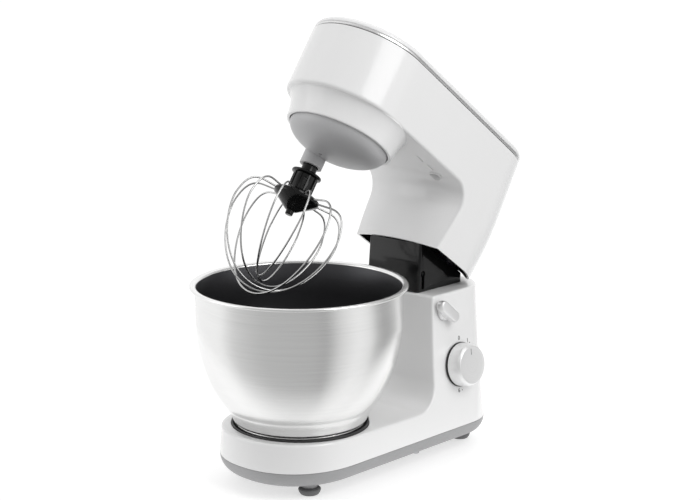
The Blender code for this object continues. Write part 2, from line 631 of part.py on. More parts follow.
def make_bowl():
    wall = BOWL_RIM_RADIUS - BOWL_RIM_ROLL
    heel = FOOT_RING_RADIUS + BOWL_HEEL
    step = BOWL_BOTTOM + BOWL_STEP_HEIGHT
    straight = BOWL_RIM - 36 * MM
    sweep = bezier((wall, straight), (wall, straight - 27 * MM), (wall - 9.5 * MM, step + 24 * MM),
                   (heel, step + 1.5 * MM), 6)
    inside = bezier((wall - BOWL_SHEET, straight), (wall - BOWL_SHEET, straight - 27 * MM),
                    (wall - 9.5 * MM - BOWL_SHEET, step + 24.5 * MM), (heel - BOWL_SHEET, step + 3 * MM), 6)
    well, low = WELL_RADIUS, SEAT_TOP + WELL_RISE
    waist = [(heel - 0.5 * MM, step - 0.2 * MM), (heel - 2.2 * MM, step - 2.2 * MM), (heel - 4.8 * MM, step - 5 * MM),
             (well + 0.4 * MM, step - 8.1 * MM), (well, low + 2.4 * MM), (well - 1 * MM, low + 0.7 * MM),
             (BOWL_STEP_RADIUS, low)]
    waist_inside = [(well - 2 * MM, low + 1.8 * MM), (well - 1.2 * MM, low + 3 * MM),
                    (well - 0.8 * MM, step - 7.6 * MM), (heel - 5.7 * MM, step - 4.2 * MM),
                    (heel - 3.05 * MM, step - 1.35 * MM), (heel - 1.4 * MM, step + 0.6 * MM)]
    shoulder, step_in = low + BOWL_SHEET, BOWL_STEP_RADIUS - BOWL_SHEET
    round_foot = 5 * MM
    profile = [(0, BOWL_BOTTOM + BOWL_SHEET), (step_in - round_foot, BOWL_BOTTOM + BOWL_SHEET),
               (step_in, BOWL_BOTTOM + round_foot), (step_in, shoulder), *waist_inside]
    profile += list(reversed(inside))
    rim = (BOWL_RIM_RADIUS - BOWL_RIM_HEIGHT / 2, BOWL_RIM - BOWL_RIM_HEIGHT / 2)
    profile += [(wall - BOWL_SHEET, BOWL_RIM - 1.2 * MM), (wall + 0.4 * MM, BOWL_RIM)]
    profile += arc(rim, BOWL_RIM_HEIGHT / 2, 90, -90, 3)
    profile += [(wall, BOWL_RIM - BOWL_RIM_HEIGHT)]
    profile += sweep + waist
    profile += [(BOWL_STEP_RADIUS, BOWL_BOTTOM + round_foot),
                (BOWL_STEP_RADIUS - round_foot, BOWL_BOTTOM), (0, BOWL_BOTTOM)]
    turned("bowl", profile, "steel", bowl_axis)
    ring = [(FOOT_RING_RADIUS - FOOT_RING_WALL, low - GAP), (FOOT_RING_RADIUS, low - GAP),
            (FOOT_RING_RADIUS, FOOT_RING_BOTTOM), (FOOT_RING_RADIUS - FOOT_RING_WALL, FOOT_RING_BOTTOM)]
    foot = turned("bowl_foot_ring", ring, "steel", bowl_axis, ring=True)
    for i in range(LUG_COUNT):
        join(foot, ring_sector(f"lug_{i}", FOOT_RING_RADIUS - 1 * MM, FOOT_RING_RADIUS + LUG_REACH, lug_angle(i),
                               LUG_SPAN, FOOT_RING_BOTTOM + 0.5 * MM, FOOT_RING_BOTTOM + LUG_HEIGHT, bowl_axis))


# Knob and lever, each in the frame of its own axis, which points out of the side

def make_knob():
    profile = [(0, KNOB_LENGTH), (KNOB_RADIUS - KNOB_CHAMFER, KNOB_LENGTH),
               (KNOB_RADIUS - 1 * MM, KNOB_LENGTH - KNOB_CHAMFER), (KNOB_RADIUS, 2.5 * MM),
               (KNOB_RADIUS - 2 * MM, 2.5 * MM), (KNOB_RADIUS - 3.5 * MM, KNOB_LENGTH - 5 * MM),
               (KNOB_SHAFT_RADIUS + 3 * MM, KNOB_LENGTH - 5 * MM), (KNOB_SHAFT_RADIUS + 3 * MM, 4 * MM),
               (KNOB_SHAFT_RADIUS + GAP, 4 * MM), (KNOB_SHAFT_RADIUS + GAP, KNOB_LENGTH - 6 * MM),
               (0, KNOB_LENGTH - 6 * MM)]
    turned("speed_knob", profile, "satin_aluminium", knob_axis, sides=28, own_frame=True)
    rod("knob_shaft", (0, 0, -9.5 * MM), (0, 0, KNOB_LENGTH - 6 * MM - GAP), KNOB_SHAFT_RADIUS, "zinc_steel",
        knob_axis, sides=16, own_frame=True)
    ring = [(KNOB_RADIUS - 4 * MM, 2 * MM), (KNOB_RADIUS + 0.8 * MM, 2 * MM), (KNOB_RADIUS + 0.8 * MM, 0.8 * MM),
            (KNOB_RADIUS - 4 * MM, 0.8 * MM)]
    turned("knob_ring", ring, "black_plastic", knob_mount, sides=28, ring=True, own_frame=True)


def make_lever():
    """The paddle leans to the front at its top; the frame's -X is up and its +Y is to the rear."""
    boss = rod("release_lever", (0, 0, 0.8 * MM), (0, 0, LEVER_BOSS_LENGTH), LEVER_BOSS_RADIUS, "satin_aluminium",
               lever_axis, sides=20, own_frame=True)
    half, reach = PADDLE_WIDTH / 2, (PADDLE_LENGTH - PADDLE_WIDTH) / 2
    outline = arc((-reach, 0), half, 90, 270, 6) + arc((reach, 0), half, -90, 90, 6)
    cosine, sine = math.cos(PADDLE_TURN), math.sin(PADDLE_TURN)
    outline = [(x * cosine - y * sine, x * sine + y * cosine) for x, y in outline]
    paddle_low = LEVER_BOSS_LENGTH - 1 * MM
    paddle = prism("paddle", outline, paddle_low, paddle_low + PADDLE_THICKNESS, None, lever_axis, own_frame=True)
    join(boss, paddle)
    bore = LEVER_SHAFT_RADIUS + GAP
    cut(boss, rod("lever_bore", (0, 0, -2 * MM), (0, 0, 6 * MM), bore, None, lever_axis, sides=16, own_frame=True))
    depth = body_half_width(BASE_TOP + LEVER_RISE) - 8 * MM
    rod("lever_shaft", (0, 0, -depth), (0, 0, 6 * MM - GAP), LEVER_SHAFT_RADIUS, "zinc_steel", lever_axis,
        sides=16, own_frame=True)
    hook_length = 36 * MM
    rise, run = hook_length * math.sin(math.radians(44)), hook_length * math.cos(math.radians(44))
    hook = [(4 * MM, -5.5 * MM), (-rise, run - 5 * MM), (-rise - 3 * MM, run + 2 * MM), (-rise + 4 * MM, run + 3 * MM),
            (5.5 * MM, 5 * MM)]
    latch = prism("latch_hook", hook, -depth + 1 * MM, -depth + 5 * MM, "zinc_steel", lever_axis, own_frame=True)
    cut(latch, rod("hook_bore", (0, 0, -depth), (0, 0, -depth + 6 * MM), bore, None, lever_axis, sides=16,
                   own_frame=True))


# Head

def head_half_width(height):
    share = min(max((height - SKIRT_BOTTOM) / (UNDERSIDE - SKIRT_BOTTOM), 0), 1)
    return SKIRT_HALF_WIDTH + (HEAD_HALF_WIDTH - SKIRT_HALF_WIDTH) * math.sin(share * math.pi / 2)


def head_plan(height, inset):
    half = head_half_width(height)
    share = (height - SKIRT_BOTTOM) / (HEAD_SEAM - SKIRT_BOTTOM)
    rear = HEAD_REAR - HEAD_REAR_LEAN * min(max(share, 0), 1)
    nose = HEAD_NOSE - (HEAD_HALF_WIDTH - half)
    return plan(half - inset, nose - inset, rear - inset, HEAD_CORNER - inset, 2, nose_from=-5.8 * MM)


def arch(height, inset):
    """How far back the hollow under the head reaches at a height."""
    start = UNDERSIDE - ARCH_HEIGHT
    if height <= start:
        return SKIRT_FRONT + inset
    share = min((height - start) / (ARCH_HEIGHT + inset), 1)
    return SKIRT_FRONT - ARCH_LENGTH + (ARCH_LENGTH + inset) * math.sqrt(1 - share * share)


def under_head(name, inset):
    """The space in front of the skirt and below the head; its rear face is bowed."""
    wide, top = 2 * HEAD_HALF_WIDTH, UNDERSIDE + inset
    heights = [SKIRT_BOTTOM - 12 * MM, UNDERSIDE - ARCH_HEIGHT]
    heights += [UNDERSIDE - ARCH_HEIGHT + (ARCH_HEIGHT + inset) * math.sin(math.pi / 2 * i / 5) for i in range(1, 5)]
    heights += [top]
    rings = []
    for z in heights:
        back = arch(z, inset)
        bow = [(x / 6 * SKIRT_HALF_WIDTH, back + SKIRT_BOW * (x / 6) ** 2) for x in range(-6, 7)]
        ring = [(-wide, -wide), (-wide, back + SKIRT_BOW), *bow, (wide, back + SKIRT_BOW), (wide, -wide)]
        rings.append([(x, y, z) for x, y in ring])
    return loft(name, rings, None, head)


def rear_rounding(name, inset):
    """Cuts the skirt's lower rear corner round, so that it clears the column when the head is up."""
    r = SKIRT_REAR_ROUNDING
    corner = (HEAD_REAR - r, SKIRT_BOTTOM + r)
    outline = arc(corner, r - inset, -90, 0, 6) + [(HEAD_REAR + 20 * MM, corner[1]),
                                                   (HEAD_REAR + 20 * MM, SKIRT_BOTTOM - 20 * MM),
                                                   (corner[0], SKIRT_BOTTOM - 20 * MM)]
    wide = 2 * HEAD_HALF_WIDTH
    return prism(name, outline, -wide, wide, None, head, axis="X")


def head_blank(name, inset, low, high, finish):
    heights = [low, SKIRT_BOTTOM + 20 * MM, SKIRT_BOTTOM + 40 * MM, UNDERSIDE, high]
    form = loft(name, [[(x, y, z) for x, y in head_plan(z, inset)] for z in heights], finish, head)
    return cut(form, under_head(name + "_arch", inset))


def make_head_shell():
    shell = head_blank("head_shell", 0, SKIRT_BOTTOM, HEAD_SEAM, "white_gloss")
    cut(shell, rear_rounding("rear_round", 0))
    cut(shell, head_blank("head_hollow", WALL, SKIRT_BOTTOM - 10 * MM, HEAD_SEAM + 10 * MM, None))
    inner = CARRIER_RADIUS + 2 * GAP
    rim = inner + COLLAR_WALL
    drop = UNDERSIDE - CARRIER_RIM
    flare = bezier((rim + COLLAR_FLARE, UNDERSIDE + 1 * MM), (rim + COLLAR_FLARE * 0.5, UNDERSIDE - 4 * MM),
                   (rim + 1 * MM, CARRIER_RIM + drop * 0.4), (rim, CARRIER_RIM - 1 * MM), 5)
    collar = [(inner - 3 * MM, UNDERSIDE + WALL - 0.5 * MM), (rim + COLLAR_FLARE, UNDERSIDE + WALL - 0.5 * MM)]
    collar += flare + [(inner - 3 * MM, CARRIER_RIM - 1 * MM)]
    join(shell, turned("collar", collar, None, head, ring=True))
    cut(shell, rod("drive_hole", (0, 0, CARRIER_RIM - 20 * MM), (0, 0, UNDERSIDE + 20 * MM), inner, None, head,
                   sides=DIVISIONS))


def flat_plan(inset):
    return head_plan(HEAD_SEAM, inset)


def make_head_top():
    low = HEAD_SEAM + GAP
    top = low + BAND_HEIGHT
    band = prism("trim_band", flat_plan(0.3 * MM), low, top, "satin_aluminium", head)
    cut(band, prism("band_hollow", flat_plan(8 * MM), low - 5 * MM, top + 5 * MM, None, head))
    low = top + GAP
    rings = [(0.4 * MM, low), (0.2 * MM, low + 1.2 * MM), (1.2 * MM, low + 3 * MM), (5 * MM, low + LID_HEIGHT),
             (20 * MM, low + LID_HEIGHT + LID_CROWN * 0.7), (42 * MM, low + LID_HEIGHT + LID_CROWN)]
    lid = loft("top_lid", [[(x, y, z) for x, y in flat_plan(inset)] for inset, z in rings], "white_gloss", head)
    cut(lid, prism("lid_hollow", flat_plan(5 * MM), low - 5 * MM, low + LID_HEIGHT - 2.2 * MM, None, head))


def make_head_liner():
    """A black plate that closes the head above the hinge, with a slot for each lug of the chassis."""
    z = UNDERSIDE - 17 * MM
    front = SKIRT_FRONT + SKIRT_BOW + WALL + 1.5 * MM
    outline = head_plan(z, WALL + GAP + 1.6 * MM)
    plate = prism("head_liner", outline, z, z + 2 * MM, "black_plastic", head)
    wide = 2 * HEAD_HALF_WIDTH
    cut(plate, block("liner_front", (-wide, -wide, z - 9 * MM), (wide, front, z + 9 * MM), None, head))
    for side in (-1, 1):
        x = sorted((side * (LUG_OFFSET - 1.5 * MM), side * (LUG_OFFSET + LUG_THICKNESS + 1.5 * MM)))
        cut(plate, block(f"liner_slot_{side}", (x[0], HINGE.y - EAR_RADIUS - 2 * MM, z - 9 * MM),
                         (x[1], HINGE.y + EAR_RADIUS + 2 * MM, z + 9 * MM), None, head))


def make_chassis():
    """The steel deck inside the head, its two lugs on the hinge pin and the cam that the latch holds."""
    low, high = DECK, DECK + 3 * MM
    width = HEAD_HALF_WIDTH - 14 * MM
    deck = block("head_chassis", (-width, 64 * MM, low), (width, HEAD_REAR - 26 * MM, high), "zinc_steel", head)
    for side, name in ((-1, "left"), (1, "right")):
        x = sorted((side * LUG_OFFSET, side * (LUG_OFFSET + LUG_THICKNESS)))
        y, z = HINGE.y, HINGE.z
        lug = [(y - EAR_RADIUS, high - 1 * MM), *arc((y, z), EAR_RADIUS, 180, 360, 10), (y + EAR_RADIUS, high - 1 * MM)]
        join(deck, prism(f"lug_{name}", lug, *x, None, head, axis="X"))
        cut(deck, rod(f"lug_bore_{name}", (x[0] - MM, y, z), (x[1] + MM, y, z), HINGE_PIN_RADIUS + GAP, None, head,
                      sides=20))
    end = LUG_OFFSET + LUG_THICKNESS + 1 * MM
    rod("hinge_pin", (-end, HINGE.y, HINGE.z), (end, HINGE.y, HINGE.z), HINGE_PIN_RADIUS, "zinc_steel", head, sides=20)
    start, stop = 196, 272  # degrees, from the rear upwards
    cam = arc((HINGE.y, HINGE.z), CAM_RADIUS, start, stop, 8)
    cam += arc((HINGE.y, HINGE.z), HINGE_PIN_RADIUS + 4 * MM, -40, 150, 8)
    plate = prism("latch_cam", cam, 8 * MM, 12 * MM, "zinc_steel", head, axis="X")
    cut(plate, rod("cam_bore", (7 * MM, HINGE.y, HINGE.z), (13 * MM, HINGE.y, HINGE.z), HINGE_PIN_RADIUS + GAP,
                   None, head, sides=20))


# Drive

def gear_outline(teeth, inward=False, turn=0.0):
    """Four points a tooth. Inward teeth are a ring's: they point to the middle."""
    pitch = teeth * TOOTH_MODULE / 2
    tip, root = (pitch - TOOTH_MODULE * 0.8, pitch + TOOTH_MODULE * 1.1) if inward else (
        pitch + TOOTH_MODULE * 0.8, pitch - TOOTH_MODULE * 1.1)
    step = 2 * math.pi / teeth
    points = []
    for i in range(teeth):
        for radius, offset in ((root, -0.29), (tip, -0.13), (tip, 0.13), (root, 0.29)):
            angle = turn + (i + offset) * step
            points.append((radius * math.cos(angle), radius * math.sin(angle)))
    return points


def make_gears():
    low, high = GEAR_BOTTOM, GEAR_BOTTOM + GEAR_HEIGHT
    ring_radius = RING_TEETH * TOOTH_MODULE / 2 + 6.2 * MM
    ring = rod("ring_gear", (0, 0, low), (0, 0, high), ring_radius, "white_nylon", head, sides=DIVISIONS)
    half_tooth = math.pi / RING_TEETH
    cut(ring, prism("ring_teeth", gear_outline(RING_TEETH, True, PLANET_DIRECTION + half_tooth), low - 3 * MM,
                    high + 3 * MM, None, head))
    outline = [(x + PLANET_AXIS.x, y + PLANET_AXIS.y) for x, y in gear_outline(PLANET_TEETH, turn=PLANET_DIRECTION)]
    gear = prism("planet_gear", outline, low + 0.5 * MM, high - 0.5 * MM, "white_nylon", whisk_axis)
    cut(gear, rod("planet_bore", (*PLANET_AXIS.xy, low - MM), (*PLANET_AXIS.xy, high + MM), SPINDLE_RADIUS + GAP,
                  None, whisk_axis, sides=16))


def make_carrier():
    rim, r, t = CARRIER_RIM, CARRIER_RADIUS, 2.2 * MM
    dome = [(r * math.sin(a), rim - DOME_HEIGHT * math.cos(a)) for a in
            (math.pi / 2 * i / 4 for i in range(4, -1, -1))]
    boss, bore = MAIN_SHAFT_RADIUS + 5 * MM, MAIN_SHAFT_RADIUS + GAP
    floor = rim - DOME_HEIGHT + t
    profile = [(0, floor + 1.5 * MM), (bore, floor + 1.5 * MM), (bore, CARRIER_TOP + 4 * MM),
               (boss, CARRIER_TOP + 4 * MM), (boss, floor + 1 * MM)]
    profile += [((r - t) * math.sin(a), rim - (DOME_HEIGHT - t) * math.cos(a)) for a in
                (math.radians(degrees) for degrees in (26, 44, 62, 78))]
    profile += [(r - t, rim + 1 * MM), (r - t, CARRIER_TOP), (r, CARRIER_TOP)]
    carrier = turned("planet_carrier", profile + dome, "silver_plastic", carrier_axis)
    x, y = PLANET_AXIS.xy
    cut(carrier, rod("sleeve_hole", (x, y, rim - 30 * MM), (x, y, rim + 30 * MM), SLEEVE_RADIUS + GAP, None,
                     carrier_axis, sides=28))
    inner = SLEEVE_RADIUS - SLEEVE_WALL
    seat = SPINDLE_RADIUS + GAP
    sleeve = [(inner, SLEEVE_END), (inner, rim - 8 * MM), (seat, rim - 6 * MM), (seat, CARRIER_TOP + 1 * MM),
              (SLEEVE_RADIUS, CARRIER_TOP + 1 * MM), (SLEEVE_RADIUS, SLEEVE_END)]
    turned("spindle_sleeve", sleeve, "silver_plastic", carrier_axis, centre=(x, y), sides=28, ring=True)
    top = BELT_LEVEL + PULLEY_HEIGHT + 3 * MM
    rod("main_shaft", (0, 0, floor + 2 * MM), (0, 0, top), MAIN_SHAFT_RADIUS, "zinc_steel", carrier_axis)
    pulley = pulley_profile(DRIVEN_PULLEY_RADIUS, MAIN_SHAFT_RADIUS + GAP)
    turned("driven_pulley", pulley, "black_plastic", carrier_axis, ring=True)


def pulley_profile(radius, bore):
    """A flanged pulley: the belt runs between its two flanges."""
    low, high, edge = BELT_LEVEL, BELT_LEVEL + PULLEY_HEIGHT, 2 * MM
    return [(bore, high), (radius + 1.5 * MM, high), (radius, high - edge), (radius, low + edge),
            (radius + 1.5 * MM, low), (bore, low)]


def belt_outline(reach):
    """Around both pulleys at a distance from them, with straight runs between."""
    big, small = DRIVEN_PULLEY_RADIUS + reach, DRIVE_PULLEY_RADIUS + reach
    lean = math.degrees(math.asin((big - small) / MOTOR_BACK))
    return arc((0, MOTOR_BACK), small, lean, 180 - lean, 8) + arc((0, 0), big, 180 - lean, 360 + lean, 24)


def make_drive():
    middle = BELT_LEVEL + PULLEY_HEIGHT / 2
    low, high = middle - BELT_HEIGHT / 2, middle + BELT_HEIGHT / 2
    belt = prism("drive_belt", belt_outline(GAP + BELT_THICKNESS), low, high, "rubber", head)
    cut(belt, prism("belt_hollow", belt_outline(GAP), low - 3 * MM, high + 3 * MM, None, head))
    bore, wall = BEARING_RADIUS + GAP, 4 * MM
    boss_top = DECK + 32 * MM
    plate, out = DECK + 3.4 * MM, CARRIER_RADIUS + 7 * MM
    skirt = RING_TEETH * TOOTH_MODULE / 2 + 7 * MM
    housing = [(bore, boss_top), (bore + wall, boss_top), (bore + wall, plate), (out, plate), (out, DECK),
               (skirt, DECK), (skirt, GEAR_BOTTOM + GEAR_HEIGHT + GAP), (skirt - 4 * MM, GEAR_BOTTOM + GEAR_HEIGHT + GAP),
               (skirt - 4 * MM, DECK), (bore, DECK)]
    turned("gear_housing", housing, "cast_metal", head, ring=True)
    for name, z in (("bearing_lower", DECK + 1 * MM), ("bearing_upper", boss_top - BEARING_HEIGHT - 1 * MM)):
        race = [(MAIN_SHAFT_RADIUS + GAP, z + BEARING_HEIGHT), (BEARING_RADIUS, z + BEARING_HEIGHT),
                (BEARING_RADIUS, z), (MAIN_SHAFT_RADIUS + GAP, z)]
        turned(name, race, "steel", head, sides=16, ring=True)


def make_motor():
    y, base = MOTOR_BACK, DECK + 3 * MM + GAP
    half = STATOR_HALF
    bracket = block("motor_bracket", (-half - 4 * MM, y - half, base), (half + 4 * MM, y + half, base + 2.5 * MM),
                    "zinc_steel", head)
    cut(bracket, rod("bracket_bore", (0, y, base - MM), (0, y, base + 5 * MM), 6 * MM, None, head, sides=20))
    low = base + 2.5 * MM + GAP
    stator = block("motor_stator", (-half, y - half, low), (half, y + half, low + STATOR_HEIGHT), "cast_metal", head)
    cut(stator, rod("stator_bore", (0, y, low - MM), (0, y, low + STATOR_HEIGHT + MM), ROTOR_RADIUS + 1 * MM, None,
                    head))
    shaft, armature = MOTOR_SHAFT_RADIUS, (low + 1 * MM, low + STATOR_HEIGHT - 1 * MM)
    top = BELT_LEVEL + PULLEY_HEIGHT + 2 * MM
    rotor = [(0, top), (shaft, top), (shaft, armature[1]), (ROTOR_RADIUS, armature[1]), (ROTOR_RADIUS, armature[0]),
             (shaft, armature[0]), (shaft, base + 0.5 * MM), (0, base + 0.5 * MM)]
    turned("motor_rotor", rotor, "copper", rotor_axis, centre=(0, y), sides=20)
    fan_low = low + STATOR_HEIGHT + 1.2 * MM
    fan = [(shaft + GAP, fan_low + 3 * MM), (FAN_RADIUS, fan_low + 3 * MM), (FAN_RADIUS, fan_low),
           (shaft + GAP, fan_low)]
    turned("cooling_fan", fan, "white_nylon", rotor_axis, centre=(0, y), sides=20, ring=True)
    turned("drive_pulley", pulley_profile(DRIVE_PULLEY_RADIUS, shaft + GAP), "zinc_steel", rotor_axis,
           centre=(0, y), sides=16, ring=True)


# Whisk

def make_whisk_hub():
    x, y = PLANET_AXIS.xy
    end = SLEEVE_END
    cone_end = HUB_TIP_DEPTH - 5 * MM
    bore = SPINDLE_RADIUS + GAP
    depths = [(bore, -GAP - 3 * MM), (HUB_SHAFT_RADIUS, -GAP - 3 * MM), (HUB_SHAFT_RADIUS, HUB_FLANGE_DEPTH),
              (HUB_FLANGE_RADIUS - 1 * MM, HUB_FLANGE_DEPTH), (HUB_FLANGE_RADIUS, HUB_FLANGE_DEPTH + 1.3 * MM),
              (HUB_FLANGE_RADIUS - 1 * MM, HUB_FLANGE_DEPTH + 2.6 * MM),
              (HUB_COLLAR_RADIUS, HUB_FLANGE_DEPTH + 3.6 * MM), (HUB_COLLAR_RADIUS, HUB_RIM_DEPTH - 4 * MM),
              (HUB_RIM_RADIUS - 2 * MM, HUB_RIM_DEPTH - 0.5 * MM), (HUB_RIM_RADIUS, HUB_RIM_DEPTH + 1.5 * MM),
              (HUB_RIM_RADIUS - 0.5 * MM, HUB_RIM_DEPTH + 5 * MM), (5.5 * MM, cone_end), (4 * MM, cone_end),
              (4 * MM, HUB_TIP_DEPTH), (0, HUB_TIP_DEPTH), (0, HUB_RIM_DEPTH - 3 * MM),
              (bore, HUB_RIM_DEPTH - 3 * MM)]
    hub = turned("whisk_hub", [(r, end - d) for r, d in depths], "black_gloss", whisk_axis, centre=(x, y), sides=20,
                 ring=True)
    pin_z = end - 20 * MM
    reach = HUB_COLLAR_RADIUS - 1.5 * MM
    cut(hub, rod("pin_slot", (x - reach - 3 * MM, y, pin_z), (x + reach + 3 * MM, y, pin_z), 2.2 * MM, None,
                 whisk_axis, sides=12))
    top = GEAR_BOTTOM + GEAR_HEIGHT
    spindle = rod("whisk_spindle", (x, y, end - HUB_RIM_DEPTH + 4 * MM), (x, y, top), SPINDLE_RADIUS, "zinc_steel",
                  whisk_axis, sides=16)
    cut(spindle, rod("pin_bore", (x - 9 * MM, y, pin_z), (x + 9 * MM, y, pin_z), 1.9 * MM, None, whisk_axis, sides=12))
    rod("drive_pin", (x - reach, y, pin_z), (x + reach, y, pin_z), 1.5 * MM, "zinc_steel", whisk_axis, sides=12)


def wire_side(bottom):
    """Half a loop, from the hub's rim to the loop's lowest point, as (radius, depth)."""
    out, shoulder = WHISK_RADIUS - 3 * MM, HUB_RIM_DEPTH + 4 * MM
    start = (HUB_RIM_RADIUS + WIRE_RADIUS + GAP, shoulder - 1.5 * MM)
    bend = bezier((out - 10 * MM, shoulder - 2.5 * MM), (out - 3 * MM, shoulder - 3 * MM), (out, shoulder + 1 * MM),
                  (out + 0.6 * MM, shoulder + 10 * MM), 3)
    belly = bezier(bend[-1], (WHISK_RADIUS + 6 * MM, bottom - 62 * MM), (WHISK_RADIUS * 0.72, bottom), (0, bottom), 7)
    return [start, *bend, *belly[1:]]


def make_wires():
    x, y = PLANET_AXIS.xy
    for i in range(WIRE_LOOPS):
        turn = WIRE_PHASE + math.pi * i / WIRE_LOOPS
        half = wire_side(WHISK_DEPTH - WIRE_NEST * i)
        path = [(r, d) for r, d in half] + [(-r, d) for r, d in reversed(half[:-1])]
        name = f"whisk_wire_{i + 1}"
        curve = bpy.data.curves.new(name, "CURVE")
        curve.dimensions = "3D"
        curve.bevel_depth = WIRE_RADIUS
        curve.bevel_resolution = 1
        curve.use_fill_caps = True
        spline = curve.splines.new("POLY")
        spline.points.add(len(path) - 1)
        for point, (r, d) in zip(spline.points, path):
            point.co = (x + r * math.cos(turn), y + r * math.sin(turn), SLEEVE_END - d, 1)
        obj = bpy.data.objects.new(name, curve)
        PARTS.objects.link(obj)
        curve.materials.append(material("steel", *MATERIALS["steel"]))
        attach(obj, whisk_axis)


# Frame

def centre_on_floor():
    """Put the origin under the middle of the raised mixer's box."""
    bpy.context.view_layer.update()
    graph = bpy.context.evaluated_depsgraph_get()
    lows, highs = [], []
    for obj in PARTS.objects:
        if obj.type == "EMPTY":
            continue
        evaluated = obj.evaluated_get(graph)
        mesh = evaluated.to_mesh()
        ys = [(evaluated.matrix_world @ v.co).y for v in mesh.vertices]
        lows.append(min(ys))
        highs.append(max(ys))
        evaluated.to_mesh_clear()
    machine.location.y = -(min(lows) + max(highs)) / 2
    bpy.context.view_layer.update()


clear_scene()
PARTS = collection("stand_mixer")
CUTTERS = collection("cutters")
PLACES = {}

machine = pivot("machine", (0, 0, 0))
head = pivot("head_pivot", HINGE, machine)
carrier_axis = pivot("carrier_axis", (0, 0, CARRIER_RIM), head)
whisk_axis = pivot("whisk_axis", (*PLANET_AXIS.xy, SLEEVE_END), carrier_axis)
rotor_axis = pivot("rotor_axis", (0, MOTOR_BACK, BELT_LEVEL), head)
bowl_axis = pivot("bowl_axis", (0, 0, SEAT_FLOOR), machine)
knob_x, knob_turn = side_frame(BASE_TOP + KNOB_RISE)
knob_place = (knob_x, COLUMN_FRONT + KNOB_BACK, BASE_TOP + KNOB_RISE)
knob_mount = pivot("knob_mount", knob_place, machine, knob_turn)
knob_axis = pivot("knob_axis", knob_place, machine, knob_turn)
lever_x, lever_turn = side_frame(BASE_TOP + LEVER_RISE)
lever_axis = pivot("lever_axis", (lever_x, COLUMN_FRONT + LEVER_BACK, BASE_TOP + LEVER_RISE), machine, lever_turn)

make_body()
make_pan()
make_feet_and_screws()
make_neck()
make_hinge()
make_inside_body()
make_seat()
make_bowl()
make_knob()
make_lever()
make_head_shell()
make_head_top()
make_head_liner()
make_chassis()
make_gears()
make_carrier()
make_drive()
make_motor()
make_whisk_hub()
make_wires()
head.rotation_euler.x = -HEAD_RAISE
centre_on_floor()
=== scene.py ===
"""Detailed pieces, finishes and a studio for the tilt-head stand mixer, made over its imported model.

Metres, +Z up. Shapes are written in the mixer's own coordinates, whose origin is on the floor under the bowl's
middle, with the head level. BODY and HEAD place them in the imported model.
"""

import json
import math

import bmesh
import bpy
from bpy.props import FloatProperty, FloatVectorProperty, IntProperty, PointerProperty
from mathutils import Matrix, Vector
from mathutils.bvhtree import BVHTree


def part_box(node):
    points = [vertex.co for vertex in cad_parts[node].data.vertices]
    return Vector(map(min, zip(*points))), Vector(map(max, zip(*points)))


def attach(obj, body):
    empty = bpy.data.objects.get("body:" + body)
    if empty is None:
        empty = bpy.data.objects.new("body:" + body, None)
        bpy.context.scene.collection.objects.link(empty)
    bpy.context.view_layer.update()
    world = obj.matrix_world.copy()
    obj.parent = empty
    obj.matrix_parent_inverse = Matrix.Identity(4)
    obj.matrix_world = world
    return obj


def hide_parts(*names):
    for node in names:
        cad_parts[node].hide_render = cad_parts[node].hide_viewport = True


bl_info = {
    "name": "Stand mixer",
    "version": (1, 0, 0),
    "blender": (4, 5, 0),
    "location": "3D View > Sidebar > Mixer",
    "description": "Makes the visible pieces, finishes and studio of a tilt-head stand mixer",
    "category": "Object",
}

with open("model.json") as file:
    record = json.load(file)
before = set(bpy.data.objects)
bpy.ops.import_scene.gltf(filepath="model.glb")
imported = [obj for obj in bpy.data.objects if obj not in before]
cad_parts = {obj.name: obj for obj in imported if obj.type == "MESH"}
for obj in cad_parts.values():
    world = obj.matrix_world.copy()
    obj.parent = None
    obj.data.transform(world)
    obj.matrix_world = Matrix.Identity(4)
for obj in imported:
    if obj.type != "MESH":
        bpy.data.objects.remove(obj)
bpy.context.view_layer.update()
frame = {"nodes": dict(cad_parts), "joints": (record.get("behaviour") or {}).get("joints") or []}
JOINTS = {joint["name"]: joint for joint in frame["joints"]}

MM = 0.001
SEGMENTS = 128

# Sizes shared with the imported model
SEAM = 30.2 * MM
BASE_TOP = 59.6 * MM
BASE_FALL = 2.4 * MM
BASE_DEPTH = 29.4 * MM
COLUMN_TOP = 174 * MM
COLUMN_FRONT = 138.9 * MM
COLUMN_LEAN = 7.9 * MM
COLUMN_FILLET = 30 * MM
COLUMN_REAR = 235.5 * MM
COLUMN_HALF_WIDTH = 58.2 * MM
BASE_HALF_WIDTH = 76.6 * MM
BASE_FRONT = 82 * MM
SEAT_RADIUS = 70.2 * MM
FOOT_RING = 66.6 * MM
HEAD_SEAM = 325.6 * MM
UNDERSIDE = 258.4 * MM
SKIRT_BOTTOM = 187.5 * MM
SKIRT_FRONT = 131.5 * MM
SKIRT_HALF_WIDTH = 57.3 * MM
SKIRT_BOW = 10 * MM
HEAD_HALF_WIDTH = 65.3 * MM
HEAD_REAR = 237 * MM
ARCH_LENGTH = 24.5 * MM
ARCH_HEIGHT = 26 * MM
CARRIER_RIM = 233.8 * MM
CARRIER_TOP = 241.8 * MM
CARRIER_RADIUS = 52.9 * MM
DOME_DEPTH = 23 * MM
SLEEVE_END = 202 * MM
SLEEVE_RADIUS = 12 * MM
PLANET = (30 * MM * math.cos(math.radians(164.2)), 30 * MM * math.sin(math.radians(164.2)))
BOWL_BOTTOM = 50 * MM
BOWL_RIM = 203.6 * MM
HINGE = Vector((0, 202 * MM, 197.4 * MM))


def joint_axis(name):
    joint = JOINTS[name]
    return Vector(joint["pos_m"]), Vector(joint["axis"]).normalized()


def sideways_frame(name):
    """The frame of something on the +X side: its Z points out along the joint's axis, its -X up."""
    place, out = joint_axis(name)
    return Matrix.Translation(place) @ Matrix.Rotation(math.atan2(out.x, out.z), 4, "Y")


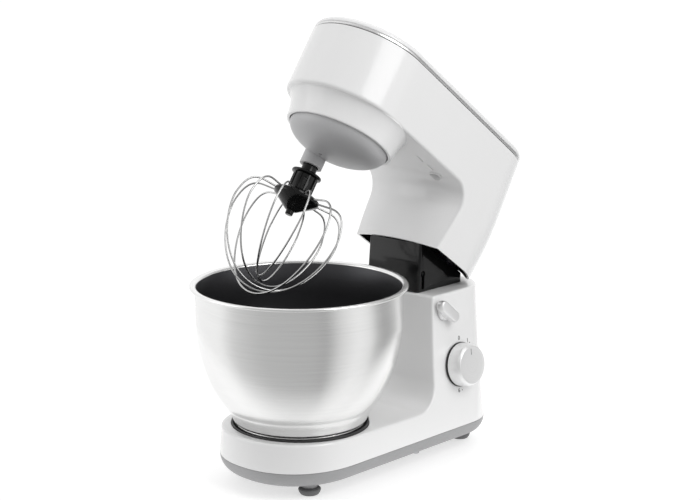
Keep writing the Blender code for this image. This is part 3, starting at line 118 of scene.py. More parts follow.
BODY = Matrix.Translation((0, joint_axis("bowl_twist")[0].y, 0))
HEAD_RAISE = math.radians(JOINTS["head_tilt"]["range_deg"][1])
HEAD = BODY @ Matrix.Translation(HINGE) @ Matrix.Rotation(-HEAD_RAISE, 4, "X") @ Matrix.Translation(-HINGE)
AZIMUTH, RISE = math.radians(42.8139), math.radians(12.1777)
VIEW_FROM = Vector((math.sin(AZIMUTH), -math.cos(AZIMUTH), 0))
WHISK = HEAD @ Matrix.Translation((*PLANET, 0))
KNOB = sideways_frame("knob_turn")
LEVER = sideways_frame("lever_turn")


# Settings

class MixerSizes(bpy.types.PropertyGroup):
    body_edge: FloatProperty(name="Body edge", description="Radius of the body's upper edges", default=2.2 * MM,
                             min=0.5 * MM, max=4 * MM, unit="LENGTH")
    head_edge: FloatProperty(name="Head edge", description="Radius of the head's lower edges", default=3.0 * MM,
                             min=0.5 * MM, max=5 * MM, unit="LENGTH")
    wall: FloatProperty(name="Wall", description="Thickness of the moulded shells", default=2.2 * MM,
                        min=1 * MM, max=2.6 * MM, unit="LENGTH")
    wire: FloatProperty(name="Wire", description="Radius of the whisk's wires", default=1.0 * MM,
                        min=0.6 * MM, max=1.0 * MM, unit="LENGTH")
    loops: IntProperty(name="Loops", description="Number of wire loops in the whisk", default=6, min=3, max=8)
    numeral: FloatProperty(name="Numeral", description="Height of the dial's numerals", default=4.6 * MM,
                           min=2 * MM, max=7 * MM, unit="LENGTH")


class MixerFinishes(bpy.types.PropertyGroup):
    housing: FloatVectorProperty(name="Housing", description="Colour of the glossy housing",
                                 default=(0.83, 0.83, 0.83), min=0, max=1, subtype="COLOR")
    trim: FloatVectorProperty(name="Trim", description="Colour of the silver plastic pan and drive plate",
                              default=(0.36, 0.36, 0.365), min=0, max=1, subtype="COLOR")
    steel: FloatVectorProperty(name="Steel", description="Colour of the bowl and the wires",
                               default=(0.86, 0.86, 0.855), min=0, max=1, subtype="COLOR")
    aluminium: FloatVectorProperty(name="Aluminium", description="Colour of the knob, the lever and the band",
                                   default=(0.74, 0.74, 0.74), min=0, max=1, subtype="COLOR")


# Shader writing

class Value:
    """A number on a shader socket, which arithmetic turns into Math nodes."""

    def __init__(self, finish, socket):
        self.finish, self.socket = finish, socket

    def maths(self, operation, *values):
        return self.finish.node("ShaderNodeMath", {"operation": operation}, dict(enumerate(values)))

    def __add__(self, other):
        return self.maths("ADD", self, other)

    __radd__ = __add__

    def __sub__(self, other):
        return self.maths("SUBTRACT", self, other)

    def __rsub__(self, other):
        return self.maths("SUBTRACT", other, self)

    def __mul__(self, other):
        return self.maths("MULTIPLY", self, other)

    __rmul__ = __mul__

    def __truediv__(self, other):
        return self.maths("DIVIDE", self, other)

    def __rtruediv__(self, other):
        return self.maths("DIVIDE", other, self)

    def __pow__(self, other):
        return self.maths("POWER", self, other)

    def __rpow__(self, other):
        return self.maths("POWER", other, self)

    def __neg__(self):
        return self.maths("MULTIPLY", self, -1)


class Finish:
    """A procedural material: node() adds one node, surface() feeds the shader."""

    def __init__(self, tree):
        self.tree = tree

    @classmethod
    def material(cls, name):
        made = bpy.data.materials.new(name)
        made.use_nodes = True
        finish = cls(made.node_tree)
        finish.result, finish.shader = made, made.node_tree.nodes["Principled BSDF"]
        return finish

    def node(self, kind, settings=None, sockets=None, output=0):
        made = self.tree.nodes.new(kind)
        for key, setting in (settings or {}).items():
            if key == "stops":
                ramp = made.color_ramp.elements
                while len(ramp) < len(setting):
                    ramp.new(0.5)
                for element, (place, shade) in zip(ramp, setting):
                    element.position = place
                    element.color = (*shade, 1) if isinstance(shade, tuple) else (shade, shade, shade, 1)
            else:
                setattr(made, key, setting)
        for key, value in (sockets or {}).items():
            if isinstance(value, Value):
                self.tree.links.new(value.socket, made.inputs[key])
            elif isinstance(value, (tuple, list)) and len(value) == 3 and made.inputs[key].type == "RGBA":
                made.inputs[key].default_value = (*value, 1)
            else:
                made.inputs[key].default_value = value
        return Value(self, made.outputs[output])

    def place(self, matrix=None, stretch=(1, 1, 1)):
        """Object coordinates seen from a piece's own frame, then stretched."""
        coordinates = self.node("ShaderNodeTexCoord", output="Object")
        if matrix:
            back = matrix.inverted()
            coordinates = self.node("ShaderNodeMapping", None, {
                "Vector": coordinates, "Location": back.to_translation(), "Rotation": back.to_euler()})
        return self.node("ShaderNodeMapping", None, {"Vector": coordinates, "Scale": stretch})

    def noise(self, place, scale, detail=2.0, roughness=0.5):
        return self.node("ShaderNodeTexNoise", None, {
            "Vector": place, "Scale": scale, "Detail": detail, "Roughness": roughness})

    def ramp(self, value, *stops):
        return self.node("ShaderNodeValToRGB", {"stops": stops}, {"Fac": value})

    def tint(self, factor, low, high):
        return self.node("ShaderNodeMix", {"data_type": "RGBA"}, {0: factor, 6: low, 7: high}, 2)

    def bump(self, height, distance, strength=1.0):
        return self.node("ShaderNodeBump", None, {"Height": height, "Distance": distance, "Strength": strength})

    def surface(self, **values):
        for key, value in values.items():
            socket = self.shader.inputs[key.replace("_", " ").title().replace("Ior", "IOR")]
            if isinstance(value, Value):
                self.tree.links.new(value.socket, socket)
            elif socket.type == "RGBA":
                socket.default_value = (*value, 1)
            else:
                socket.default_value = value
        return self.result


def shade(colour, factor):
    return tuple(min(channel * factor, 1) for channel in colour)


def housing_gloss(name="housing_gloss", matrix=None):
    """Glossy moulded plastic with the faint ripple of a polished mould and a little handling haze."""
    colour = tuple(bpy.context.scene.mixer_finishes.housing)
    f = Finish.material(name)
    place = f.place(matrix)
    ripple = f.noise(place, 210, 1.5)
    haze = f.noise(place, 16, 4.0, 0.6)
    speck = f.noise(place, 2600, 1.0)
    return f.surface(
        base_color=f.tint(haze, shade(colour, 0.985), shade(colour, 1.01)),
        roughness=0.15 + haze * 0.09 + speck * 0.02,
        coat_weight=0.25 + haze * 0.1,
        coat_roughness=0.06,
        normal=f.bump(ripple * 0.8 + speck * 0.2, 0.05 * MM, 0.35),
    )


def silver_plastic(name="silver_plastic", tone=1.0, matrix=None, flaked=0.35):
    """Metallic paint on plastic: fine flakes under a satin lacquer."""
    colour = shade(tuple(bpy.context.scene.mixer_finishes.trim), tone)
    f = Finish.material(name)
    place = f.place(matrix)
    flake = f.node("ShaderNodeTexVoronoi", {"feature": "F1"}, {"Vector": place, "Scale": 3800.0})
    cloud = f.noise(place, 24, 3.0)
    return f.surface(
        base_color=f.tint(f.ramp(flake, (0.15, 1.0), (0.65, 0.0)), shade(colour, 0.93), shade(colour, 1.1)),
        roughness=0.36 + cloud * 0.12,
        metallic=flaked + flake * 0.15,
        normal=f.bump(flake, 0.02 * MM, 0.25),
    )


def turned_metal(name, colour, matrix, lines, gloss, depth=0.015, metallic=1.0):
    """Metal brushed round an axis: the lines are rings about the piece's own Z."""
    f = Finish.material(name)
    place = f.place(matrix)
    parts = f.node("ShaderNodeSeparateXYZ", None, {0: place})
    x, y, z = (Value(f, parts.socket.node.outputs[i]) for i in range(3))
    radius = (x * x + y * y) ** 0.5
    along = f.node("ShaderNodeCombineXYZ", None, {0: radius * lines, 1: z * lines, 2: x * 9})
    brush = f.noise(along, 1.0, 5.0, 0.7)
    cloud = f.noise(place, 22, 3.0)
    fleck = f.ramp(f.noise(place, 900, 2.0), (0.62, 0.0), (0.8, 1.0))
    return f.surface(
        base_color=f.tint(brush, shade(colour, 0.86), shade(colour, 1.12)),
        roughness=gloss + brush * 0.13 + cloud * 0.05 + fleck * 0.02,
        metallic=metallic,
        normal=f.bump(brush, depth * MM, 0.5),
    )


def brushed_metal(name, colour, stretch, gloss, matrix=None, metallic=1.0):
    """Metal with straight brushing: the noise is stretched along the piece."""
    f = Finish.material(name)
    brush = f.noise(f.place(matrix, stretch), 1.0, 5.0, 0.7)
    cloud = f.noise(f.place(matrix), 30, 3.0)
    return f.surface(
        base_color=f.tint(brush, shade(colour, 0.88), shade(colour, 1.08)),
        roughness=gloss + brush * 0.12 + cloud * 0.05,
        metallic=metallic,
        normal=f.bump(brush, 0.015 * MM, 0.5),
    )


def dark_plastic(name, tone, gloss, grain, matrix=None, depth=0.03, shine=0.5):
    """Moulded dark plastic or rubber: a fine spark-eroded grain, and dust that lifts the colour a little."""
    f = Finish.material(name)
    place = f.place(matrix)
    texture = f.noise(place, grain, 3.0, 0.6)
    dust = f.ramp(f.noise(place, 55, 5.0, 0.65), (0.45, 0.0), (0.85, 1.0))
    return f.surface(
        base_color=f.tint(dust, (tone, tone, tone * 1.02), (tone * 1.5, tone * 1.5, tone * 1.5)),
        roughness=gloss + texture * 0.1 + dust * 0.04,
        specular_ior_level=shine,
        normal=f.bump(texture, depth * MM, 0.4),
    )


def rough_metal(name, colour, grain, gloss, metallic=1.0):
    """Cast, plated or sintered metal: grain in the height and blotches in the colour."""
    f = Finish.material(name)
    place = f.place()
    pits = f.noise(place, grain, 4.0, 0.65)
    blotch = f.noise(place, 60, 3.0)
    return f.surface(
        base_color=f.tint(blotch, shade(colour, 0.8), shade(colour, 1.15)),
        roughness=gloss + pits * 0.2,
        metallic=metallic,
        normal=f.bump(pits, 0.06 * MM, 0.5),
    )


def wound_copper():
    """Enamelled windings: fine turns round the rotor."""
    f = Finish.material("wound_copper")
    turns = f.node("ShaderNodeTexWave", {"bands_direction": "Z"}, {
        "Vector": f.place(HEAD), "Scale": 900.0, "Distortion": 1.5})
    return f.surface(base_color=f.tint(turns, (0.32, 0.12, 0.04), (0.72, 0.33, 0.16)),
                     roughness=0.3 + turns * 0.2,
                     metallic=0.8, normal=f.bump(turns, 0.1 * MM, 0.6))


def circuit_green():
    """Solder resist with lighter tracks."""
    f = Finish.material("circuit_green")
    cells = f.node("ShaderNodeTexVoronoi", {"feature": "DISTANCE_TO_EDGE"}, {"Vector": f.place(), "Scale": 210.0})
    tracks = f.ramp(cells, (0.02, 1.0), (0.08, 0.0))
    return f.surface(base_color=f.tint(tracks, (0.02, 0.12, 0.04), (0.07, 0.27, 0.1)),
                     roughness=0.35 + tracks * 0.15,
                     normal=f.bump(tracks, 0.05 * MM))


def print_ink():
    """Dark printed marks, slightly worn."""
    f = Finish.material("print_ink")
    wear = f.noise(f.place(), 1500, 3.0)
    return f.surface(base_color=f.tint(wear, (0.035, 0.035, 0.04), (0.09, 0.09, 0.09)),
                     roughness=0.4 + wear * 0.2,
                     normal=f.bump(wear, 0.005 * MM))


def floor_paint():
    """The pale studio floor."""
    f = Finish.material("floor_paint")
    middle = BODY.translation - VIEW_FROM * 0.3
    place = f.place()
    distance = f.node("ShaderNodeVectorMath", {"operation": "DISTANCE"}, {0: place, 1: middle}, 1)
    cloud = f.noise(place, 3, 2.0)
    return f.surface(base_color=f.tint(cloud, (0.6, 0.6, 0.6), (0.62, 0.62, 0.62)),
                     roughness=0.62 + cloud * 0.05,
                     specular_ior_level=0.1, emission_color=(1.0, 1.0, 1.0), emission_strength=0.54,
                     alpha=f.ramp(distance, (0.36, 1.0), (0.5, 0.0)))


def make_finishes():
    steel = tuple(bpy.context.scene.mixer_finishes.steel)
    aluminium = tuple(bpy.context.scene.mixer_finishes.aluminium)
    bright = (0.5, 0.5, 0.51)
    return {
        "white_gloss": housing_gloss(),
        "head_gloss": housing_gloss("head_gloss", HEAD),
        "silver_plastic": silver_plastic(),
        # Painted light: the drive plate and sleeve take the trim colour lifted 1.4 times, making up for the shade
        # under the head, and made less metallic
        "drive_silver": silver_plastic("drive_silver", 1.4, HEAD, 0.08),
        "steel": turned_metal("bowl_steel", steel, BODY, 1900, 0.15, 0.006),
        # Painted reflection: the bowl's inside is a near-black copy of the steel, standing in for the dark room that
        # the inside reflects
        "bowl_inside": turned_metal("bowl_inside", (0.075, 0.075, 0.08), BODY, 1100, 0.24, metallic=0.75),
        # Painted shade: the wires' steel is the bowl's steel darkened to 0.6, standing in for the darker reflections
        # on thin wire; the bearings use it too
        "wire_steel": brushed_metal("wire_steel", shade(steel, 0.6), (3000, 3000, 90), 0.16, HEAD),
        "satin_aluminium": turned_metal("knob_aluminium", shade(aluminium, 1.2), KNOB, 3200, 0.3, 0.02, 0.8),
        "lever_aluminium": brushed_metal(
            "lever_aluminium", shade(aluminium, 1.2), (2600, 2600, 140), 0.3, LEVER, 0.8),
        "band_metal": brushed_metal("band_metal", (0.78, 0.78, 0.78), (120, 120, 2600), 0.16, HEAD),
        "black_gloss": dark_plastic("black_gloss", 0.006, 0.06, 260, depth=0.01, shine=0.28),
        "hub_gloss": dark_plastic("hub_gloss", 0.005, 0.1, 500, WHISK, 0.01, 0.3),
        "black_plastic": dark_plastic("black_plastic", 0.02, 0.42, 1800),
        "rubber": dark_plastic("foot_rubber", 0.13, 0.62, 2400, depth=0.05),
        "cast_metal": rough_metal("cast_metal", (0.45, 0.45, 0.46), 900, 0.4),
        "zinc_steel": rough_metal("zinc_steel", bright, 500, 0.25),
        "bronze": rough_metal("sintered_bronze", (0.55, 0.36, 0.18), 1600, 0.35),
        "white_nylon": dark_plastic("gear_nylon", 0.52, 0.38, 1200),
        "copper": wound_copper(),
        "board_green": circuit_green(),
        "ink": print_ink(),
    }


FINISHES = {}


# Mesh writing

def sharpen(mesh, angle=32):
    for polygon in mesh.polygons:
        polygon.use_smooth = True
    mesh.set_sharp_from_angle(angle=math.radians(angle))


def new_object(name, bm, recalculate=True):
    bmesh.ops.remove_doubles(bm, verts=bm.verts, dist=0.004 * MM)
    if recalculate:
        bmesh.ops.recalc_face_normals(bm, faces=bm.faces)
    mesh = bpy.data.meshes.new(name)
    bm.to_mesh(mesh)
    bm.free()
    obj = bpy.data.objects.new(name, mesh)
    bpy.context.scene.collection.objects.link(obj)
    return obj


def settle(obj, matrix=None, angle=32):
    """Turn modifiers into plain mesh and put the place into the mesh."""
    bpy.context.view_layer.update()
    evaluated = obj.evaluated_get(bpy.context.evaluated_depsgraph_get())
    mesh = bpy.data.meshes.new_from_object(evaluated)
    plain = bpy.data.objects.new(obj.name + "_plain", mesh)
    name = obj.name
    bpy.context.scene.collection.objects.link(plain)
    bpy.data.objects.remove(obj)
    plain.name = name
    mesh.name = name
    if matrix:
        mesh.transform(matrix)
    sharpen(mesh, angle)
    return plain


def complete(obj, body, finish, replaced=()):
    """Give a piece its finish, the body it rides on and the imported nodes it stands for."""
    if isinstance(finish, str):
        obj.data.materials.clear()
        obj.data.materials.append(FINISHES[finish])
    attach(obj, body)
    if replaced:
        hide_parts(*replaced)
    return obj


def subtract(obj, *cutters):
    for cutter in cutters:
        boolean = obj.modifiers.new("cut", "BOOLEAN")
        boolean.object, boolean.operation, boolean.solver = cutter, "DIFFERENCE", "EXACT"
    made = settle(obj)
    for cutter in cutters:
        bpy.data.objects.remove(cutter)
    return made


def lathe(name, profile, segments=SEGMENTS, closed=False, centre=(0, 0)):
    bm = bmesh.new()
    rings = []
    for radius, height in profile:
        if radius < 0.001 * MM:
            rings.append([bm.verts.new((*centre, height))] * segments)
            continue
        turns = (2 * math.pi * i / segments for i in range(segments))
        rings.append([bm.verts.new((centre[0] + radius * math.cos(t), centre[1] + radius * math.sin(t), height))
                      for t in turns])
    pairs = list(zip(rings, rings[1:])) + ([(rings[-1], rings[0])] if closed else [])
    for first, second in pairs:
        for i in range(segments):
            j = (i + 1) % segments
            corners = []
            for corner in (first[i], first[j], second[j], second[i]):
                if corner not in corners:
                    corners.append(corner)
            if len(corners) > 2:
                bm.faces.new(corners)
    return new_object(name, bm)


def loft(name, rings, cap_low=True, cap_high=True):
    bm = bmesh.new()
    rows = [[bm.verts.new(point) for point in ring] for ring in rings]
    count = len(rows[0])
    for lower, upper in zip(rows, rows[1:]):
        for i in range(count):
            j = (i + 1) % count
            bm.faces.new((lower[i], lower[j], upper[j], upper[i]))
    if cap_low:
        bm.faces.new(rows[0])
    if cap_high:
        bm.faces.new(rows[-1])
    return new_object(name, bm)


def bar(name, outline, low, high):
    return loft(name, [[(x, y, z) for x, y in outline] for z in (low, high)])


def crosswise(name, outline, low, high):
    """A (y, z) outline given a thickness along X."""
    return loft(name, [[(x, y, z) for y, z in outline] for x in (low, high)])


def box_between(name, low, high):
    corners = [(low[0], low[1]), (high[0], low[1]), (high[0], high[1]), (low[0], high[1])]
    return bar(name, corners, low[2], high[2])


def disc(name, centre, radius, low, high, segments=48):
    return lathe(name, [(0, high), (radius, high), (radius, low), (0, low)], segments, centre=centre)


def arc(centre, radius, start, end, steps):
    turns = [math.radians(start + (end - start) * i / steps) for i in range(steps + 1)]
    return [(centre[0] + radius * math.cos(t), centre[1] + radius * math.sin(t)) for t in turns]


def bezier(p0, p1, p2, p3, steps):
    points = []
    for i in range(steps + 1):
        t = i / steps
        weights = ((1 - t) ** 3, 3 * t * (1 - t) ** 2, 3 * t * t * (1 - t), t ** 3)
        points.append(tuple(sum(w * p[k] for w, p in zip(weights, (p0, p1, p2, p3))) for k in (0, 1)))
    return points


def rounded(points, radius, steps=4):
    """A polyline of (radius, height) with its inner corners rounded."""
    result = [points[0]]
    for before, corner, after in zip(points, points[1:], points[2:]):
        a, b, c = Vector(before), Vector(corner), Vector(after)
        reach = min(radius, (a - b).length * 0.45, (c - b).length * 0.45)
        start, end = b + (a - b).normalized() * reach, b + (c - b).normalized() * reach
        result += [tuple(start.lerp(b, t).lerp(b.lerp(end, t), t)) for t in (i / steps for i in range(steps + 1))]
    return result + [points[-1]]


# Geometry Nodes

class NodeSetup:
    """A Geometry Nodes tree with named inputs."""

    def __init__(self, name):
        self.tree = bpy.data.node_groups.new(name, "GeometryNodeTree")
        self.tree.interface.new_socket("Geometry", in_out="INPUT", socket_type="NodeSocketGeometry")
        self.tree.interface.new_socket("Geometry", in_out="OUTPUT", socket_type="NodeSocketGeometry")
        self.source = self.tree.nodes.new("NodeGroupInput")
        self.target = self.tree.nodes.new("NodeGroupOutput")

    def size(self, name, kind, default):
        socket = self.tree.interface.new_socket(name, in_out="INPUT", socket_type=kind)
        if default is not None:
            socket.default_value = default
        return self.source.outputs[name]

    def add(self, kind, settings=None, links=None, output=0):
        made = self.tree.nodes.new(kind)
        for key, setting in (settings or {}).items():
            setattr(made, key, setting)
        for key, value in (links or {}).items():
            if isinstance(value, bpy.types.NodeSocket):
                self.tree.links.new(value, made.inputs[key])
            else:
                made.inputs[key].default_value = value
        return made.outputs[output]

    def close(self, geometry, finish):
        smooth = self.add("GeometryNodeSetShadeSmooth", None, {"Geometry": geometry})
        real = self.add("GeometryNodeRealizeInstances", None, {"Geometry": smooth})
        painted = self.add("GeometryNodeSetMaterial", None, {"Geometry": real, "Material": finish})
        self.tree.links.new(painted, self.target.inputs["Geometry"])

    def run(self, obj, matrix=None, angle=32, **values):
        modifier = obj.modifiers.new(self.tree.name, "NODES")
        modifier.node_group = self.tree
        for item in self.tree.interface.items_tree:
            if item.in_out == "INPUT" and item.name in values:
                modifier[item.identifier] = values[item.name]
        return settle(obj, matrix, angle)


def repeated(obj, finish, matrix, count, step, start=0.0, angle=32):
    """Copies of a piece turned about its own Z by equal steps."""
    setup = NodeSetup(obj.name + "_repeat")
    number = setup.size("Count", "NodeSocketInt", 1)
    turn = setup.size("Step", "NodeSocketFloat", 0.0)
    first = setup.size("Start", "NodeSocketFloat", 0.0)
    points = setup.add("GeometryNodeMeshLine", None, {"Count": number, "Offset": (0, 0, 0)})
    index = setup.add("GeometryNodeInputIndex")
    turned = setup.add("ShaderNodeMath", {"operation": "MULTIPLY_ADD"}, {0: index, 1: turn, 2: first})
    rotation = setup.add("ShaderNodeCombineXYZ", None, {"Z": turned})
    copies = setup.add("GeometryNodeInstanceOnPoints", None, {
        "Points": points, "Instance": setup.source.outputs["Geometry"], "Rotation": rotation})
    setup.close(copies, finish)
    return setup.run(obj, matrix, angle, Count=count, Step=step, Start=start)


def wires_along(obj, finish, matrix, radius):
    """A round wire along every line of a mesh."""
    setup = NodeSetup("wire_along_line")
    thick = setup.size("Radius", "NodeSocketFloat", 1 * MM)
    curve = setup.add("GeometryNodeMeshToCurve", None, {"Mesh": setup.source.outputs["Geometry"]})
    section = setup.add("GeometryNodeCurvePrimitiveCircle", {"mode": "RADIUS"},
                        {"Resolution": 12, "Radius": thick})
    tube = setup.add("GeometryNodeCurveToMesh", None,
                     {"Curve": curve, "Profile Curve": section, "Fill Caps": True})
    setup.close(tube, finish)
    return setup.run(obj, matrix, 60, Radius=radius)


# Shells made of ribs across the mixer

def rib(edge, side, cap, radius, wall, cap_point, steps=5, across=14):
    """A line over one shell: up the right wall, round the edge, over the middle and down the left wall."""
    right = list(wall)
    for i in range(1, steps + 1):
        turn = math.pi / 2 * i / steps
        right.append(edge + radius * (math.cos(turn) * side + math.sin(turn) * cap))
    outer = right[-1].x
    right += [cap_point(outer * (1 - i / across)) for i in range(1, across + 1)]
    left = [Vector((-p.x, p.y, p.z)) for p in reversed(right[:-1])]
    return right + left


def shell(name, ribs, sides=(), bridged=0):
    """Ribs joined into a skin, then side walls alone, then a back wall between the last two side lines."""
    bm = bmesh.new()
    rows = [[bm.verts.new(p) for p in line] for line in ribs]
    for first, second in zip(rows, rows[1:]):
        for i in range(len(first) - 1):
            bm.faces.new((first[i], first[i + 1], second[i + 1], second[i]))
    last = rows[-1]
    right, left = last[:bridged], last[::-1][:bridged]
    for line in sides:
        new_right = [bm.verts.new(p) for p in line]
        new_left = [bm.verts.new((-p.x, p.y, p.z)) for p in line]
        for i in range(bridged - 1):
            bm.faces.new((right[i], right[i + 1], new_right[i + 1], new_right[i]))
            bm.faces.new((left[i], new_left[i], new_left[i + 1], left[i + 1]))
        right, left = new_right, new_left
    for i in range(bridged - 1):
        bm.faces.new((right[i], right[i + 1], left[i + 1], left[i]))
    if not sides:
        middle = last[bridged - 1:len(last) - bridged + 1]
        bm.faces.new(middle)
    return new_object(name, bm)


def side_share(height):
    return min(max((height - SEAM) / (COLUMN_TOP - SEAM), 0), 1)


def body_half(height):
    return COLUMN_HALF_WIDTH + (BASE_HALF_WIDTH - COLUMN_HALF_WIDTH) * (1 - side_share(height)) ** 1.25


def body_corner(height):
    return (40 + 8 * (1 - side_share(height))) * MM


def body_fuller(height):
    return 3 * MM * max(1 - abs(height - BASE_TOP) / BASE_DEPTH, 0)


def body_side(y, height):
    straight = COLUMN_REAR - body_corner(height)
    return body_half(height) + body_fuller(height) * max(1 - max(y, 0) / straight, 0)


def body_nose(turn, height):
    half = body_half(height) + body_fuller(height)
    front = BASE_FRONT - 0.45 * (BASE_HALF_WIDTH - body_half(height))
    return Vector((half * math.sin(turn) ** (2 / 2.2), -front * math.cos(turn) ** (2 / 2.2), height))


def outward(point_at, turn):
    """The plan's outward direction at a point of a curve that runs from the nose to the side."""
    step = 0.004
    a, b = point_at(max(turn - step, 0)), point_at(min(turn + step, math.pi / 2))
    run = b - a
    return Vector((run.y, -run.x, 0)).normalized() if run.length else Vector((0, -1, 0))


def body_top_line():
    """The side view's upper line as (y, z, outward y, outward z), from the widest point to the rear corner."""
    low = BASE_TOP - BASE_FALL
    foot = COLUMN_FRONT - COLUMN_LEAN
    bend = (foot - COLUMN_FILLET, low + COLUMN_FILLET)
    tilt = math.atan2(BASE_FALL, bend[0] + BASE_FRONT)
    line = []
    for i in range(1, 15):
        y = bend[0] * i / 15
        line.append((y, base_top(y), math.sin(tilt), math.cos(tilt)))
    for i in range(17):
        turn = math.radians(-90 + 90 * i / 16)
        line.append((bend[0] + COLUMN_FILLET * math.cos(turn), bend[1] + COLUMN_FILLET * math.sin(turn),
                     -math.cos(turn), -math.sin(turn)))
    lean = math.atan2(COLUMN_LEAN, COLUMN_TOP - bend[1])
    crest = 4 * MM
    for i in range(1, 9):
        share = i / 8 * (1 - crest / (COLUMN_TOP - bend[1]))
        line.append((foot + COLUMN_LEAN * share, bend[1] + (COLUMN_TOP - bend[1]) * share, -math.cos(lean),
                     math.sin(lean)))
    centre = (line[-1][0] + crest * math.cos(lean), COLUMN_TOP - crest)
    for i in range(1, 6):
        turn = math.pi - lean - (math.pi / 2 - lean) * i / 5
        line.append((centre[0] + crest * math.cos(turn), centre[1] + crest * math.sin(turn), math.cos(turn),
                     math.sin(turn)))
    start, end = line[-1][0], COLUMN_REAR - body_corner(COLUMN_TOP)
    line += [(start + (end - start) * i / 4, COLUMN_TOP, 0, 1) for i in range(1, 5)]
    return line


def base_top(y):
    bend = COLUMN_FRONT - COLUMN_LEAN - COLUMN_FILLET
    return BASE_TOP - BASE_FALL * (y + BASE_FRONT) / (bend + BASE_FRONT)


NOSE_STEPS = 32


def make_body_shell(sizes):
    radius, floor, levels = sizes.body_edge, SEAM + 0.4 * MM, 18
    shares = [i / levels for i in range(levels + 1)]
    ribs = []
    for i in range(NOSE_STEPS + 1):
        turn = math.pi / 2 * (i / NOSE_STEPS)
        side = outward(lambda t: body_nose(t, BASE_TOP), turn)
        lip = body_nose(turn, BASE_TOP - radius)
        edge = lip - radius * side
        edge.z = base_top(edge.y) - radius
        wall = [body_nose(turn, floor + (edge.z - floor) * s) for s in shares]
        wall[-1] = edge + radius * side
        ribs.append(rib(edge, side, Vector((0, 0, 1)), radius, wall,
                        lambda x, y=edge.y: Vector((x, y, base_top(y)))))
    flat, rear_start = COLUMN_FRONT + 4 * MM, COLUMN_REAR - body_corner(COLUMN_TOP)
    for y, z, out_y, out_z in body_top_line():
        cap = Vector((0, out_y, out_z))
        corner_y, corner_z = y - radius * out_y, z - radius * out_z
        edge = Vector((body_side(corner_y, corner_z) - radius, corner_y, corner_z))
        spread = min(max((y - flat) / (rear_start - flat), 0), 1)
        wall = []
        for s in shares:
            h = floor + (corner_z - floor) * s
            away = corner_y - spread * (body_corner(h) - body_corner(corner_z))
            wall.append(Vector((body_side(away, h), away, h)))
        ribs.append(rib(edge, Vector((1, 0, 0)), cap, radius, wall, lambda x, y=y, z=z: Vector((x, y, z))))

    def rear(turn, height):
        corner = body_corner(height)
        return Vector((body_half(height) - corner + corner * math.cos(turn),
                       COLUMN_REAR - corner + corner * math.sin(turn), height))

    for i in range(1, 15):
        turn = math.pi / 2 * i / 14
        side = Vector((math.cos(turn), math.sin(turn), 0))
        top = COLUMN_TOP - radius
        edge = rear(turn, top) - radius * side
        wall = [rear(turn, floor + (top - floor) * s) for s in shares]
        ribs.append(rib(edge, side, Vector((0, 0, 1)), radius, wall,
                        lambda x, y=edge.y: Vector((x, y, COLUMN_TOP))))
    body = shell("body_shell_skin", ribs, bridged=levels + 1 + 5)
    thick = body.modifiers.new("wall", "SOLIDIFY")
    thick.thickness, thick.offset = sizes.wall, -1
    body = settle(body)
    body = subtract(
        body,
        disc("seat_hole", (0, 0), SEAT_RADIUS + 0.5 * MM, 30 * MM, 75 * MM, SEGMENTS),
        box_between("neck_hole", (-31 * MM, 146.3 * MM, 165 * MM), (31 * MM, 211 * MM, 185 * MM)),
    )
    body.data.transform(BODY)
    sharpen(body.data, 28)
    return complete(body, "body", "white_gloss", ["body_shell"])


def plan_ring(half, front, rear, corner, roundness, nose_from=0.0, steps=40, corner_steps=14):
    side = []
    for i in range(steps + 1):
        t = math.pi / 2 * i / steps
        side.append((half * math.sin(t) ** (2 / roundness),
                     nose_from - (front + nose_from) * math.cos(t) ** (2 / roundness)))
    side += arc((half - corner, rear - corner), corner, 0, 90, corner_steps)
    return side + [(-x, y) for x, y in reversed(side) if x > 0.01 * MM]


def make_pan():
    """The silver pan under the base, its lower edge curving in."""
    depth, rings = 17.2 * MM, []
    bottom = SEAM - depth
    for i in range(15):
        down = math.sin(math.pi / 2 * (1 - i / 14))
        pull = 17 * MM * (1 - math.sqrt(max(1 - down * down, 0)))
        rings.append([(x, y, SEAM - depth * down) for x, y in plan_ring(
            BASE_HALF_WIDTH - pull, BASE_FRONT - pull, COLUMN_REAR - pull, max(48 * MM - pull, 10 * MM), 2.2)])
    inner = [(x, y, bottom) for x, y in plan_ring(40 * MM, 45 * MM, 190 * MM, 12 * MM, 2.2)]
    pan = loft("silver_pan", [inner, *rings])
    pan.data.transform(BODY)
    sharpen(pan.data, 40)
    return complete(pan, "body", "silver_plastic", ["bottom_pan"])


def foot_middles():
    middles = []
    for name in ("foot_1", "foot_2", "foot_3", "foot_4"):
        low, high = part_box(name)
        middles.append(((low[0] + high[0]) / 2, (low[1] + high[1]) / 2))
    return middles


def make_feet():
    post = rounded([(0, 14.6 * MM), (10.5 * MM, 14.2 * MM), (8.6 * MM, 12 * MM), (7.6 * MM, 7.2 * MM),
                    (0, 7.2 * MM)], 1.4 * MM)
    foot = rounded([(0, 8.6 * MM), (6.8 * MM, 8.6 * MM), (7 * MM, 7 * MM), (10.6 * MM, 6.8 * MM),
                    (11.5 * MM, 5.6 * MM), (11 * MM, 3.2 * MM), (8.8 * MM, 0), (5 * MM, 0), (4.4 * MM, 0.9 * MM),
                    (0, 0.9 * MM)], 1.2 * MM)
    for i, middle in enumerate(foot_middles(), 1):
        piece = settle(lathe(f"rubber_foot_{i}", foot, 64, centre=middle))
        complete(piece, "body", "rubber", [f"foot_{i}"])
        stub = settle(lathe(f"foot_post_{i}", post, 64, centre=middle))
        complete(stub, "body", "silver_plastic")


